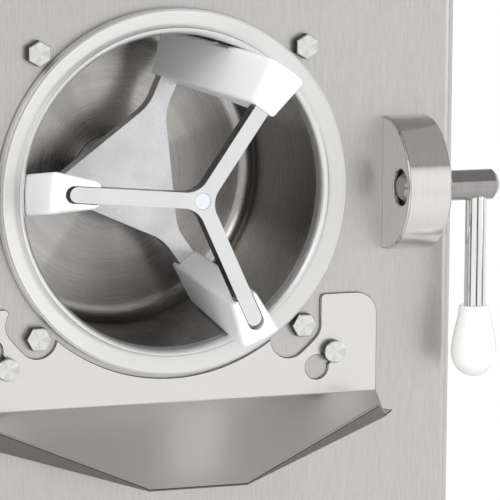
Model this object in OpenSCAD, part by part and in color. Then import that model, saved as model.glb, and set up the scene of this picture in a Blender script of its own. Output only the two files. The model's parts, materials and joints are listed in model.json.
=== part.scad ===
// Countertop batch freezer for ice cream: open barrel, dasher, chute, gate blocks and lever,
// in a stainless cabinet that holds the belt drive and the refrigeration.
// Millimetres. Z = 0 is the counter, X = 0 is the barrel's axis, and Y = 0 is the middle of the
// machine's depth. The front faces -Y.

/* [Cabinet] */
// Width across the side panels
cab_w = 392; // [370:1:460]
// Depth from the front panel's face to the rear panel's face
cab_d = 548; // [540:1:680]
// Height of the cabinet, from the base pan's underside to the lid's top
cab_h = 622; // [600:1:760]
// Height of the rubber feet
foot_h = 38; // [25:1:80]
// Radius of a foot where it meets the pan
foot_r = 21; // [15:1:28]
// Thickness of the sheet steel
sheet = 2; // [1.2:0.1:2.6]
// Outside radius of the cabinet's upright corners
bend_r = 9; // [5:0.5:12]
// Height of the barrel's axis above the counter
axis_z = 430; // [410:1:450]
// Play between loose-fitting panels and pieces
play = 0.3; // [0.2:0.05:0.4]

/* [Barrel] */
// Radius of the barrel's bore
bore_r = 99.5; // [90:0.5:104]
// Depth of the barrel, from the ring's face to the back wall
barrel_depth = 125; // [110:1:150]
// Thickness of the barrel's wall
barrel_wall = 3; // [2:0.5:4]
// Thickness of the barrel's back wall
barrel_back = 6; // [4:0.5:8]
// Radius of the corner between the bore and the back wall
corner_r = 11; // [6:0.5:16]
// Width of the front ring's face, outside its bevel
ring_face = 10.5; // [8:0.5:14]
// Radius that rounds the ring's mouth into the bore
mouth_r = 6; // [3:0.5:8]
// How far the ring stands out from the panel
ring_stand = 9.1; // [5:0.1:12]
// Thickness of the flange behind the panel
flange_t = 8; // [6:0.5:12]
// Width of the flange outside the bolts' centres
flange_edge = 12; // [10:0.5:14]
// Distance of the barrel's bolts outside the ring
bolt_gap = 10.4; // [9:0.1:14]
// Width of the hexagon heads, across their flats
hex_af = 14.3; // [12:0.1:15]
// Height of the hexagon heads
hex_h = 6.5; // [4:0.5:8]
// Radius of the bolts' shanks
bolt_r = 4.75; // [3:0.05:5]

/* [Dasher] */
// How far the front spider stands ahead of the ring's face
spider_proud = 46.4; // [10:0.1:60]
// Width of the spider's arms
arm_w = 10; // [7:0.5:14]
// Thickness of the spider's arms
arm_t = 10; // [6:0.5:14]
// Distance of an arm's tip inside the blade's outer face
tip_inset = 11.8; // [10:0.1:14]
// Radius of the fillets between the arms
hub_fillet = 15; // [8:0.5:24]
// Radius of the plug in the spider's hub
plug_r = 5.2; // [3:0.1:5.5]
// Angle of the first arm, up from the right
arm_angle = 55; // [0:1:119]
// Turn of the blades from the spider back to the plate
blade_twist = 11.5; // [4:0.5:18]
// Thickness of the rear plate
plate_t = 10; // [6:0.5:14]
// Distance from the axis to the rear plate's edges
plate_edge = 29.2; // [27:0.1:40]
// Width of the rear plate's points
point_w = 12; // [8:0.5:16]
// Radius of the fillets beside the points
point_fillet = 30; // [15:1:40]
// Radius of the boss behind the rear plate
boss_r = 23.5; // [20:0.5:26]
// Length of that boss
boss_len = 28; // [22:0.5:34]
// Clearance between a blade and the bore
blade_gap = 0.6; // [0.4:0.1:1.5]
// Depth of a blade, from the bore inwards
blade_depth = 31; // [24:0.5:36]
// Clearance beside the arms and points in the blades' slots
slot_play = 0.5; // [0.3:0.1:1]
// Clearance past the tips in those slots
slot_end = 3; // [0.5:0.1:4]
// Width of a blade at its inner edge
blade_inner_w = 17.6; // [15:0.2:24]
// Width of a blade at the bore
blade_outer_w = 26; // [20:0.5:34]
// Thickness of the wall that closes the upper blade's slot
blade_cap = 3; // [2:0.5:5]
// Radius of the bars inside the blades
bar_r = 4; // [3:0.5:5]

/* [Chute] */
// How far the chute's sides stand outside the ring
chute_side = 25; // [22:0.5:30]
// Distance of the fold below the ring
fold_gap = 18.5; // [16:0.5:30]
// Height of the chute's ears above the fold
ear_h = 64.5; // [50:0.5:70]
// Width of the right ear
ear_w = 39; // [36:0.5:40]
// Width of the left ear
ear_w_left = 33; // [32:0.5:36]
// Radius of the ears' outer corners
ear_corner = 14.5; // [6:0.5:16]
// Radius of the ears' inner corners
ear_inner = 3.5; // [1:0.5:6]
// Radius of the cut that clears a bolt through the chute's turn
bolt_clear = 12.8; // [11:0.1:14]
// Gap between the chute and the ring
chute_gap = 3; // [2:0.5:5]
// Length of the floor, along its slope
floor_len = 67.5; // [50:0.5:90]
// Slope of the floor, below level
floor_slope = 42; // [25:1:60]
// Half of the width at the pouring lip
lip_half = 32.8; // [20:0.5:60]
// Length of the floor's square sides
square_len = 21; // [10:1:30]
// Height of the side flanges at their tall end
side_flange = 16; // [8:0.5:18]
// Distance from the floor's corner to the flanges' tall end
flange_rake = 11; // [6:0.5:16]
// Width of the tabs at the floor's corners
corner_tab = 6.5; // [3:0.5:8]
// Inside radius of the fold
fold_r = 2; // [1:0.5:4]
// Distance of the hanging studs outside the ring
stud_gap = 37.8; // [36:0.1:42]
// Angle of the studs, below level
stud_angle = 44.2; // [42:0.1:46]
// Turn that frees the chute from its studs
keyhole_turn = 5.5; // [5:0.1:7]
// Radius of the studs' heads
stud_head_r = 7.3; // [5:0.1:7.5]
// Radius of the keyholes' large ends
keyhole_r = 7.9; // [7.6:0.1:8.4]
// Radius of the studs' shanks
stud_r = 3.8; // [2.5:0.1:4]
// Play between the studs' shanks and the keyholes' slots
slot_gap = 0.5; // [0.3:0.1:1]
// Height of the studs' heads above the panel
stud_h = 8; // [6:0.5:12]

/* [Gate blocks] */
// Distance from the ring to a block's inner end
block_gap = 29; // [26:1:34]
// Length of a block
block_len = 30; // [24:1:40]
// Radius of a block's curved face
block_r = 43; // [36:0.5:50]
// Distance from the panel to the bore through a block
pin_out = 28.3; // [26:0.1:31]
// Radius of the bore through a block
block_bore_r = 11.5; // [10.6:0.1:12]
// Chamfer of a block's edges
block_chamfer = 1; // [0.5:0.1:2]
// Radius of the screws that hold the blocks
block_screw_r = 3; // [2:0.5:4]

/* [Lever] */
// Radius of the lever's shaft
lever_shaft_r = 9.75; // [8:0.05:9.75]
// How far the shaft stands out of the block
shaft_out = 36; // [34:0.5:50]
// Chamfer of the shaft's ends
shaft_chamfer = 3; // [1:0.5:4]
// Distance from the block to the lever's rod
rod_x = 23; // [23:0.5:28]
// Radius of the rod
rod_r = 6.75; // [4:0.05:7.5]
// Length of the rod, from the shaft's axis to the knob
rod_len = 78; // [50:1:120]
// Length of the knob
knob_len = 46.4; // [30:0.1:60]
// Largest radius of the knob
knob_r = 14.6; // [11:0.1:18]
// Radius of the knob's neck
neck_r = 9.9; // [9.2:0.1:11]

/* [Drive] */
// Radius of the drive shaft
shaft_r = 12; // [10:0.5:13]
// Width of the shaft's hexagon, across its flats
drive_af = 19; // [16:0.5:20]
// Outside radius of the shaft bearings
bearing_r = 24; // [22:0.5:26]
// Width of the shaft bearings
bearing_w = 14; // [10:0.5:16]
// Radius of the driven pulley
pulley_r = 92; // [80:1:100]
// Width of the pulleys
pulley_w = 20; // [16:1:26]
// Radius of the motor's pulley
motor_pulley_r = 23; // [20:0.5:30]
// Depth of the pulleys' grooves
groove_d = 8; // [6:0.5:10]
// Radius of the motor
motor_r = 70; // [55:1:75]
// Length of the motor
motor_len = 180; // [150:1:190]
// Gap between the two pulleys' rims
pulley_gap = 21.5; // [10:0.5:40]
// Direction of the motor from the axis, up from the right
motor_angle = 55; // [45:1:60]

/* [Refrigeration] */
// Thickness of the cooling jacket's space
jacket_gap = 13; // [8:0.5:16]
// Thickness of the jacket's shell
jacket_wall = 2; // [1.5:0.5:3]
// Thickness of the foam around the jacket
foam_t = 26; // [12:1:28]
// Radius of the compressor's can
comp_r = 68; // [55:1:75]
// Height of the compressor's can
comp_h = 170; // [140:1:200]
// Distance of the compressor to the left of the axis
comp_x = 92; // [85:1:110]
// Width of the condenser
cond_w = 300; // [260:2:310]
// Depth of the condenser
cond_d = 42; // [30:1:60]
// Height of the condenser
cond_h = 280; // [240:2:300]
// Radius of the condenser's fan
fan_r = 88; // [70:1:95]
// Number of the fan's blades
fan_blades = 5; // [3:1:7]
// Radius of the fan's motor
fan_motor_r = 32; // [26:1:36]
// Radius of the refrigerant tubes
tube_r = 4; // [3:0.5:5]
// Radius of the tubes' bends, at their middle line
tube_bend = 12; // [8:0.5:16]

/* [Controls] */
// Distance of the row of controls below the lid's top
controls_drop = 44; // [42:0.5:50]
// Width of a rocker switch's opening
rocker_w = 20; // [16:1:24]
// Height of a rocker switch's opening
rocker_h = 28; // [24:1:30]
// Swing of a rocker to its other side
rocker_swing = 20; // [14:1:24]
// Radius of the timer's knob
timer_r = 19; // [14:1:22]
// Depth of the timer's knob
timer_d = 15; // [10:0.5:20]

/* [Louvres and grille] */
// How far the side louvres stand out
louvre_out = 9; // [4:0.5:10]
// Height of a louvre
louvre_h = 12; // [8:0.5:14]
// Length of a louvre
louvre_len = 96; // [60:2:110]
// Number of louvres in a column
louvre_rows = 9; // [4:1:10]
// Distance between the louvres
louvre_pitch = 26; // [20:1:30]
// Width of a slot in the rear grille
slot_w = 7; // [5:0.5:9]
// Number of slots in the rear grille
slot_count = 17; // [9:2:19]

/* [Hidden] */
$fn = 96;
over = 1;                                       // how far a cut runs past what it cuts
shaft_fit = 0.05;                               // radial clearance of the running fits
seam = 0.02;                                    // how far a tangent lies inside the curve it meets

// The cabinet
front_reach = ring_stand + spider_proud + blade_cap;
panel_y = -(cab_d - front_reach) / 2;
mid_y = panel_y + cab_d / 2;
top_z = foot_h + cab_h;
lid_z = top_z - sheet;
pan_z = foot_h + sheet;
inner_w = cab_w / 2 - sheet;                    // half of the width inside the panels
inner_d = cab_d / 2 - sheet;                    // half of the depth inside the panels
return_d = 30;                                  // depth of the front and rear panels' returns
post_w = 25;                                    // width of a corner post across the front
post_d = 50;                                    // width of a corner post along the side
post_t = 3;
rim_h = 16;                                     // height of the rims on the pan and the lid
side_half = cab_d / 2 - return_d - play;       // half of a side panel's length
louvre_z0 = pan_z + 60;
louvre_y = mid_y + 64;
louvre_t = 1.2;                                 // thickness of the pressed metal
foot_inset = 38;
foot_stud_r = 5;
panel_screw_r = 2;

// The barrel, in its own frame: the axis is Y, and the panel's face is Y = 0
ring_r = bore_r + mouth_r + ring_face;
spigot_r = ring_r - 4;
barrel_r = bore_r + barrel_wall;
bolt_circle = ring_r + bolt_gap;
bolt_at = bolt_circle * sin(45);
flange_r = bolt_circle + flange_edge;
flange_y = sheet + flange_t;
nut_h = 8;
back_y = barrel_depth - ring_stand;
back_out = back_y + barrel_back;
seal_r = shaft_r + 4;

// The dasher
boss_end_gap = 0.9;
plate_y1 = back_y - boss_end_gap - boss_len;
plate_y0 = plate_y1 - plate_t;
spider_y0 = -ring_stand - spider_proud;
spider_y1 = spider_y0 + arm_t;
spider_mid = (spider_y0 + spider_y1) / 2;
plate_mid = (plate_y0 + plate_y1) / 2;
plate_angle = arm_angle + blade_twist;
twist_rate = blade_twist / (plate_mid - spider_mid);
blade_out = bore_r - blade_gap;
blade_in = blade_out - blade_depth;
bar_at = blade_out - tip_inset - arm_w / 2;
bar_set = 0.8;                                  // how far the bars end inside the outer faces
socket_len = boss_len - 8;

// The drive
housing_flange_r = 42;
housing_flange_t = 10;
housing_r = bearing_r + 8;
housing_y1 = back_out + 74;
bulkhead_y = back_out + 54;
bulkhead_t = 4;
pulley_y0 = housing_y1 + 10;
pulley_y1 = pulley_y0 + pulley_w;
pulley_rim = 3;
belt_t = 5;
pulley_reach = pulley_r + motor_pulley_r + pulley_gap;
motor_x = pulley_reach * cos(motor_angle);
motor_z = pulley_reach * sin(motor_angle);
motor_shaft_r = 8;
motor_plate_y = pulley_y1 + 8;
motor_plate_t = 4;
motor_y0 = motor_plate_y + motor_plate_t;
motor_y1 = motor_y0 + motor_len;
motor_half = motor_r + 5;
motor_screw_r = 3;

// The refrigeration
jacket_r = barrel_r + jacket_gap + jacket_wall;
jacket_y0 = flange_y + 4;
jacket_y1 = back_y - 6;
foam_r = jacket_r + foam_t;
foam_y0 = flange_y + nut_h + 8;
foam_y1 = back_out + 12;
comp_y = back_out + 198;
comp_foot_h = 12;
comp_plate_t = 3;
comp_z0 = pan_z + comp_foot_h + comp_plate_t;
cond_y1 = cab_d - sheet - 28;
cond_y0 = cond_y1 - cond_d;
cond_mid = (cond_y0 + cond_y1) / 2;
cond_z0 = pan_z + 10;
cond_z1 = cond_z0 + cond_h;
shroud_half = fan_r + 22;
shroud_z = cond_z0 + cond_h / 2;
shroud_y = cond_y0 - 20;
collar_r = fan_r + 3;
collar_y = shroud_y - 22;
fan_y0 = collar_y + 4;
fan_y1 = fan_y0 + 14;
fan_motor_y1 = collar_y - 4;
fan_motor_y0 = fan_motor_y1 - 50;
drier_x = inner_w - 22;
drier_z = pan_z + 30;
drier_y0 = comp_y - 20;
drier_len = 90;
liquid_y = jacket_y0 + 31;
suction_y = jacket_y1 - 20;
suction_back = bulkhead_y + 59;
suction_up = foam_r + 11;

comp_top = comp_z0 + comp_h - axis_z;           // heights from the barrel's axis
cond_top = cond_z1 - axis_z;
low_z = drier_z - axis_z;

// The chute
chute_half = ring_r + chute_side;
fold_z = -(ring_r + fold_gap);
chute_y1 = -play;
chute_y0 = chute_y1 - sheet;
fold_start = fold_r * tan((90 - floor_slope) / 2);
stud_circle = ring_r + stud_gap;
stud_x = stud_circle * cos(stud_angle);
stud_z = -stud_circle * sin(stud_angle);
flange_len = norm([chute_half - lip_half, floor_len - square_len]);
flange_turn = atan2(floor_len - square_len, chute_half - lip_half);

// The blocks and the lever
block_x = ring_r + block_gap;
block_end = block_x + block_len;
block_screw_z = 25;
rod_at = block_end + rod_x;

// The controls, in the barrel's frame
controls_z = top_z - controls_drop - axis_z;
dasher_switch_x = -96;
cooling_switch_x = -56;
timer_x = 88;
rocker_pivot = 3;                               // depth of a rocker's pin behind the panel's face
rocker_face = 2;
bezel_rim = 4;
bezel_wall = 1.7;
box_half = 130;
box_d = 56;
box_h = 46;
box_t = 1.5;
inlet_x = -130;
inlet_z = -30;

// ---- Helpers ----

// The barrel's frame: its axis is Y, and the front panel's face is Y = 0.
module at_barrel() translate([0, panel_y, axis_z]) children();

// Turns its children about the barrel's axis, from the right towards the top.
module spin(angle) rotate([0, -angle, 0]) children();

module both_sides() for (side = [0, 1]) mirror([side, 0, 0]) children();

module at_bolts() for (x = [-bolt_at, bolt_at], z = [-bolt_at, bolt_at]) translate([x, 0, z]) children();

module x_cyl(r, x0, x1) translate([x0, 0, 0]) rotate([0, 90, 0]) cylinder(h = x1 - x0, r = r);

module y_cyl(r, y0, y1) translate([0, y0, 0]) rotate([-90, 0, 0]) cylinder(h = y1 - y0, r = r);

// A solid turned about Y from an outline in radius and Y.
module y_turn() rotate([-90, 0, 0]) rotate_extrude() children();

// A plate across Y from an outline in X and Z.
module y_plate(y0, t) translate([0, y0 + t, 0]) rotate([90, 0, 0]) linear_extrude(height = t) children();

// A box from its least to its greatest corner.
module box(from, to) translate(from) cube(to - from);

// A hexagonal bar along Y, with corners at the top and bottom if upright.
module y_hex(af, y0, y1, upright = false)
  rotate([0, upright ? 30 : 0, 0]) y_plate(y0, y1 - y0) circle(r = af / 2 / cos(30), $fn = 6);

module tube_profile(r_in, r_out, y0, y1) translate([r_in, y0]) square([r_out - r_in, y1 - y0]);

// ---- Cabinet ----

// The plan of a box that is rounded at its two front corners.
module rounded_front(w, d, r) {
  translate([-w / 2, r]) square([w, d - r]);
  translate([r - w / 2, 0]) square([w - 2 * r, r + over]);
  for (side = [-1, 1]) translate([side * (w / 2 - r), r]) circle(r);
}

// The plan of a sheet that is bent back at both sides.
module bent_sheet() difference() {
  rounded_front(cab_w, return_d, bend_r);
  translate([0, sheet]) rounded_front(cab_w - 2 * sheet, return_d, bend_r - sheet);
}

module rocker_opening(x) translate([x, 0, controls_z])
  box([-rocker_w / 2 - bezel_wall - play, -over, -rocker_h / 2 - bezel_wall - play - 0.1],
      [rocker_w / 2 + bezel_wall + play, sheet + over, rocker_h / 2 + bezel_wall + play + 0.1]);

module front_panel() color("#c9c6c1") difference() {
  translate([0, panel_y, foot_h]) linear_extrude(height = lid_z - foot_h) bent_sheet();
  at_barrel() {
    y_cyl(spigot_r + play, -over, sheet + over);
    at_bolts() y_cyl(bolt_r + play, -over, sheet + over);
    both_sides() at_block_screws() y_cyl(block_screw_r + play, -over, sheet + over);
    rocker_opening(dasher_switch_x);
    rocker_opening(cooling_switch_x);
    translate([timer_x, 0, controls_z]) y_cyl(5 + play, -over, sheet + over);
  }
}

// One louvre, from the side panel's face outwards, open at its lower edge once hollowed.
module louvre(out, h, len) rotate([90, 0, 0]) translate([0, 0, -len / 2]) linear_extrude(height = len)
  polygon([[-sheet / 2, h], [out, h * 0.3], [out, 0], [-sheet / 2, 0]]);

module at_louvres() for (column = [-0.5, 0.5], row = [0 : louvre_rows - 1])
  translate([cab_w / 2, louvre_y + column * (louvre_len + 24), louvre_z0 + row * louvre_pitch]) children();

// A side panel between the returns, with louvres pressed out of it; screws at its edges.
module side_panel() difference() {
  union() {
    box([inner_w, mid_y - side_half, foot_h], [cab_w / 2, mid_y + side_half, lid_z]);
    at_louvres() louvre(louvre_out, louvre_h, louvre_len);
  }
  at_louvres() translate([-sheet, 0, -louvre_t])
    louvre(louvre_out + sheet - louvre_t, louvre_h - 0.4, louvre_len - 2 * louvre_t);
  at_side_screws() x_cyl(panel_screw_r + play, -over, 2 * sheet);
}

module at_side_screws() for (y = [-1, 1] * (side_half - 9), z = [0.12, 0.5, 0.88])
  translate([inner_w, mid_y + y, foot_h + z * cab_h]) children();

module left_side_panel() color("#c4c1bc") mirror([1, 0, 0]) side_panel();

module right_side_panel() color("#c4c1bc") side_panel();

// The rear face holds a slotted grille over the condenser, and the power inlet.
module rear_panel() color("#bfbcb7") difference() {
  translate([0, panel_y + cab_d, foot_h]) mirror([0, 1, 0])
    linear_extrude(height = lid_z - foot_h) bent_sheet();
  at_barrel() translate([0, 0, cond_z0 - axis_z]) for (i = [0 : slot_count - 1])
    translate([(i - (slot_count - 1) / 2) * 16, cab_d - sheet - over, 20])
      y_plate(0, sheet + 2 * over) grille_slot(cond_h - 40);
  at_barrel() translate([inlet_x, cab_d, inlet_z]) box([-24.3, -sheet - over, -14.3], [24.3, over, 14.3]);
  at_rear_screws() y_cyl(panel_screw_r + play, -2 * sheet, over);
}

module grille_slot(len) {
  translate([-slot_w / 2, 0]) square([slot_w, len]);
  circle(slot_w / 2);
  translate([0, len]) circle(slot_w / 2);
}

module at_rear_screws() for (x = [-1, 1] * (inner_w - post_w / 2), z = [0.12, 0.5, 0.88])
  translate([x, panel_y + cab_d, foot_h + z * cab_h]) children();

// The rims stand between the corner posts, inside the panels.
module rims(z0) {
  both_sides() box([inner_w - sheet, mid_y - inner_d + post_d + 1, z0],
                   [inner_w, mid_y + inner_d - post_d - 1, z0 + rim_h]);
  for (y = [mid_y - inner_d, mid_y + inner_d - sheet])
    box([-inner_w + post_w + 1, y, z0], [inner_w - post_w - 1, y + sheet, z0 + rim_h]);
}

module top_panel() color("#c9c6c1") {
  translate([0, 0, lid_z]) linear_extrude(height = sheet) {
    translate([0, mid_y - cab_d / 2]) rounded_front(cab_w, cab_d / 2 + over, bend_r);
    translate([0, mid_y + cab_d / 2]) mirror([0, 1]) rounded_front(cab_w, cab_d / 2 + over, bend_r);
  }
  rims(lid_z - rim_h);
}

// The pan's plan, with its corners cut to clear the bends in the panels.
module pan_plan() {
  w = inner_w;
  d = inner_d;
  c = bend_r;
  polygon([[w, d - c], [w - c, d], [c - w, d], [-w, d - c],
           [-w, c - d], [c - w, -d], [w - c, -d], [w, c - d]]);
}

module base_pan() color("#a9a7a3") difference() {
  union() {
    translate([0, mid_y, foot_h]) linear_extrude(height = sheet) pan_plan();
    rims(pan_z);
  }
  at_feet() cylinder(h = 2 * foot_h, r = foot_stud_r + play);
}

module at_feet() for (x = [-1, 1] * (cab_w / 2 - foot_inset), y = [-1, 1] * (cab_d / 2 - foot_inset))
  translate([x, mid_y + y, 0]) children();

// Rubber feet with threaded studs through the pan.
module feet() color("#2b2b2d") at_feet() {
  cylinder(h = 1, r1 = foot_r - 3, r2 = foot_r - 2);
  translate([0, 0, 1]) cylinder(h = foot_h - 1, r1 = foot_r - 2, r2 = foot_r);
  cylinder(h = pan_z + 10, r = foot_stud_r);
}

// One angle post, with its corner cut to clear the bend in the panels.
module post_plan() difference() {
  polygon([[bend_r - sheet, 0], [post_w, 0], [post_w, post_d], [0, post_d], [0, bend_r - sheet]]);
  inner_cut = bend_r - sheet - post_t * (2 - sqrt(2));
  translate([post_t, post_t])
    polygon([[inner_cut, 0], [post_w, 0], [post_w, post_d], [0, post_d], [0, inner_cut]]);
}

module corner_posts() color("#a9a7a3") difference() {
  for (side = [0, 1], end = [0, 1])
    mirror([side, 0, 0]) translate([0, mid_y, pan_z]) mirror([0, end, 0]) translate([inner_w, -inner_d, 0])
      mirror([1, 0, 0]) linear_extrude(height = lid_z - pan_z) post_plan();
  both_sides() at_side_screws() x_cyl(panel_screw_r + play, -2 * post_t, over);
  at_rear_screws() y_cyl(panel_screw_r + play, -3 * post_t, over);
}

module screw(length) {
  cylinder(h = 2.2, r1 = 4.5, r2 = 3.6);
  translate([0, 0, -length]) cylinder(h = length + 1, r = panel_screw_r);
}

module panel_screws() color("#b8b6b2") {
  both_sides() at_side_screws() translate([sheet, 0, 0]) rotate([0, 90, 0]) screw(9);
  at_rear_screws() rotate([-90, 0, 0]) screw(9);
}

// The plate that carries the rear of the barrel and the drive, between the rims.
module drive_bulkhead() color("#a9a7a3") difference() {
  at_barrel() box([-inner_w + sheet, bulkhead_y, pan_z - axis_z],
                  [inner_w - sheet, bulkhead_y + bulkhead_t, lid_z - axis_z]);
  at_barrel() {
    y_cyl(housing_r + play, 0, cab_d);
    translate([drier_x, 0, drier_z - axis_z]) y_cyl(tube_r + 2, 0, cab_d);
    translate([-comp_x, 0, suction_up]) y_cyl(tube_r + 2, 0, cab_d);
  }
}

// ---- Barrel ----

module barrel_ring() color("#eceae6") at_barrel() y_turn() difference() {
  polygon([[bore_r, -ring_stand], [ring_r - 0.6, -ring_stand], [ring_r, 0.6 - ring_stand], [ring_r, 0],
           [spigot_r, 0], [spigot_r, sheet], [bore_r, sheet]]);
  difference() {
    translate([bore_r - over, -ring_stand - over]) square([mouth_r + over, mouth_r + over]);
    translate([bore_r + mouth_r, mouth_r - ring_stand]) circle(mouth_r);
  }
}

module barrel() color("#a8a49e") at_barrel() y_turn() difference() {
  translate([0, sheet]) square([barrel_r, back_out - sheet]);
  translate([-over, 0]) square([bore_r + over, back_y - corner_r]);
  translate([-over, 0]) square([bore_r - corner_r + over, back_y]);
  translate([bore_r - corner_r, back_y - corner_r]) circle(corner_r);
  translate([-over, 0]) square([seal_r + over, back_out + over]);
}

// The flange draws the barrel and the ring together on the panel.
module barrel_flange() color("#a8a49e") at_barrel() difference() {
  y_cyl(flange_r, sheet, flange_y);
  y_cyl(barrel_r + play, 0, flange_y + over);
  at_bolts() y_cyl(bolt_r + play, 0, flange_y + over);
}

// A hexagon head with chamfered corners and a small dimple; upright above the axis.
module hex_head(upright) intersection() {
  difference() {
    y_hex(hex_af, -hex_h, 0, upright);
    rotate([-90, 0, 0]) translate([0, 0, -hex_h - 0.01]) cylinder(h = 0.9, r1 = 1.3, r2 = 0.2);
  }
  rotate([90, 0, 0]) union() {
    cylinder(h = hex_h - 1.2, r = hex_af);
    translate([0, 0, hex_h - 1.2]) cylinder(h = 1.2, r1 = hex_af / 2 + 1.3, r2 = hex_af / 2 - 0.4);
  }
}

module barrel_bolts() color("#e6e5e3") at_barrel() {
  for (x = [-bolt_at, bolt_at], z = [-bolt_at, bolt_at]) translate([x, 0, z]) {
    hex_head(z > 0);
    y_cyl(bolt_r, -over, flange_y + nut_h + 4);
  }
}

module barrel_nuts() color("#b8b6b2") at_barrel() at_bolts() difference() {
  y_hex(hex_af, flange_y, flange_y + nut_h, true);
  y_cyl(bolt_r + 0.1, 0, flange_y + nut_h + over);
}

// The jacket is closed on the barrel, and the refrigerant boils between them.
module cooling_jacket() color("#8d8f8c") at_barrel() difference() {
  y_turn() difference() {
    tube_profile(barrel_r + play, jacket_r, jacket_y0, jacket_y1);
    tube_profile(0, jacket_r - jacket_wall, jacket_y0 + jacket_wall, jacket_y1 - jacket_wall);
  }
  translate([0, liquid_y, -jacket_r - over]) cylinder(h = 2 * jacket_wall, r = tube_r - 1);
  translate([0, suction_y, jacket_r - 2 * jacket_wall + over]) cylinder(h = 2 * jacket_wall, r = tube_r - 1);
}

module barrel_insulation() color("#efe6c8") at_barrel() difference() {
  y_turn() polygon([
    [jacket_r + play, foam_y0], [foam_r, foam_y0], [foam_r, foam_y1], [housing_flange_r + play, foam_y1],
    [housing_flange_r + play, back_out + play], [barrel_r + play, back_out + play],
    [barrel_r + play, jacket_y1 + play], [jacket_r + play, jacket_y1 + play]]);
  translate([0, liquid_y, -foam_r - over]) cylinder(h = foam_r, r = tube_r + play);
  translate([0, suction_y, jacket_r]) cylinder(h = foam_r, r = tube_r + play);
}

// ---- Drive ----

module bearing_housing() color("#8a8c8e") at_barrel() y_turn() difference() {
  union() {
    tube_profile(0, housing_flange_r, back_out, back_out + housing_flange_t);
    tube_profile(0, housing_r, back_out, housing_y1);
  }
  tube_profile(-over, bearing_r - 3, back_out - over, housing_y1 + over);
  tube_profile(-over, bearing_r + shaft_fit, back_out - over, back_out + bearing_w + shaft_fit);
  tube_profile(-over, bearing_r + shaft_fit, housing_y1 - bearing_w - shaft_fit, housing_y1 + over);
}

module bearing(y0) y_turn() difference() {
  tube_profile(shaft_r + shaft_fit, bearing_r, y0, y0 + bearing_w);
  for (y = [y0 - over, y0 + bearing_w - 1])
    tube_profile(shaft_r + 3, bearing_r - 3, y, y + 1 + over);
}

module shaft_bearings() color("#c9cbcd") at_barrel() {
  bearing(back_out);
  bearing(housing_y1 - bearing_w);
}

// A lip seal in the back wall's hole, behind the dasher's boss.
module shaft_seal() color("#303033") at_barrel() y_turn() difference() {
  tube_profile(shaft_r + play, seal_r - 0.1, back_y, back_out - 0.2);
  polygon([[shaft_r + 1.2, back_out], [shaft_r + 2.8, back_out], [shaft_r + 2, back_y + 2.5]]);
}

module drive_shaft() color("#b9bbbd") at_barrel() {
  y_hex(drive_af, plate_y1 + boss_len - socket_len + 1, back_y + over);
  y_cyl(shaft_r, back_y - 0.4, pulley_y1 + 6);
}

// The outline of a pulley: a hub, a web and a rim whose flanges keep the belt.
module pulley_profile(r, hub_r, web_r) {
  tube_profile(0, hub_r, pulley_y0, pulley_y1);
  tube_profile(0, web_r, pulley_y0 + pulley_w / 2 - 3, pulley_y0 + pulley_w / 2 + 3);
  difference() {
    tube_profile(web_r - 6, r, pulley_y0, pulley_y1);
    tube_profile(r - groove_d, r + over, pulley_y0 + pulley_rim, pulley_y1 - pulley_rim);
  }
}

module driven_pulley() color("#6f7275") at_barrel() difference() {
  y_turn() pulley_profile(pulley_r, shaft_r + 10, pulley_r - groove_d);
  y_cyl(shaft_r + shaft_fit, pulley_y0 - over, pulley_y1 + over);
  web_mid = (pulley_r - groove_d - 6 + shaft_r + 10) / 2;
  for (i = [0 : 4]) spin(72 * i) translate([web_mid, 0, 0]) y_cyl(14, pulley_y0, pulley_y1);
}

module at_motor() translate([motor_x, 0, motor_z]) children();

module motor_pulley() color("#6f7275") at_barrel() at_motor() difference() {
  y_turn() pulley_profile(motor_pulley_r, motor_pulley_r - groove_d, motor_pulley_r - groove_d);
  y_cyl(motor_shaft_r + shaft_fit, pulley_y0 - over, pulley_y1 + over);
}

// All that lies within one face of the belt; the face is grow outside the pulleys' grooves.
module belt_core(grow, y0, y1) {
  r1 = pulley_r - groove_d + grow;
  r2 = motor_pulley_r - groove_d + grow;
  lean = acos((r1 - r2) / pulley_reach);
  up = [cos(lean), sin(lean)];
  down = [cos(lean), -sin(lean)];
  y_cyl(r1, y0, y1);
  translate([pulley_reach, 0, 0]) y_cyl(r2, y0, y1);
  y_plate(y0, y1 - y0) polygon([
    (r1 - seam) * up, [pulley_reach, 0] + (r2 - seam) * up,
    [pulley_reach, 0] + (r2 - seam) * down, (r1 - seam) * down]);
}

module drive_belt() color("#2b2b2d") at_barrel() spin(motor_angle) difference() {
  side_gap = pulley_rim + play;
  belt_core(play + belt_t, pulley_y0 + side_gap, pulley_y1 - side_gap);
  belt_core(play, pulley_y0, pulley_y1);
}

module motor_shaft() color("#b9bbbd") at_barrel() at_motor()
  y_cyl(motor_shaft_r, pulley_y0 - 2, motor_y0 + 40);

module at_motor_screws() for (a = [45 : 90 : 315]) spin(a) translate([motor_r - 14, 0, 0]) children();

module drive_motor() color("#3f4a55") at_barrel() at_motor() difference() {
  union() {
    y_cyl(motor_r, motor_y0, motor_y0 + 26);
    y_cyl(motor_r - 4, motor_y0, motor_y1 - 4);
    y_cyl(motor_r, motor_y1 - 34, motor_y1 - 4);
    translate([0, motor_y1 - 4, 0]) rotate([-90, 0, 0]) cylinder(h = 4, r1 = motor_r, r2 = motor_r - 6);
    box([-24, motor_y0 + 50, motor_r - 14], [24, motor_y1 - 50, motor_r + 18]);
  }
  y_cyl(motor_shaft_r + shaft_fit, motor_y0 - over, motor_y0 + 41);
  at_motor_screws() y_cyl(motor_screw_r + play, motor_y0 - over, motor_y0 + 12);
}

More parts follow.
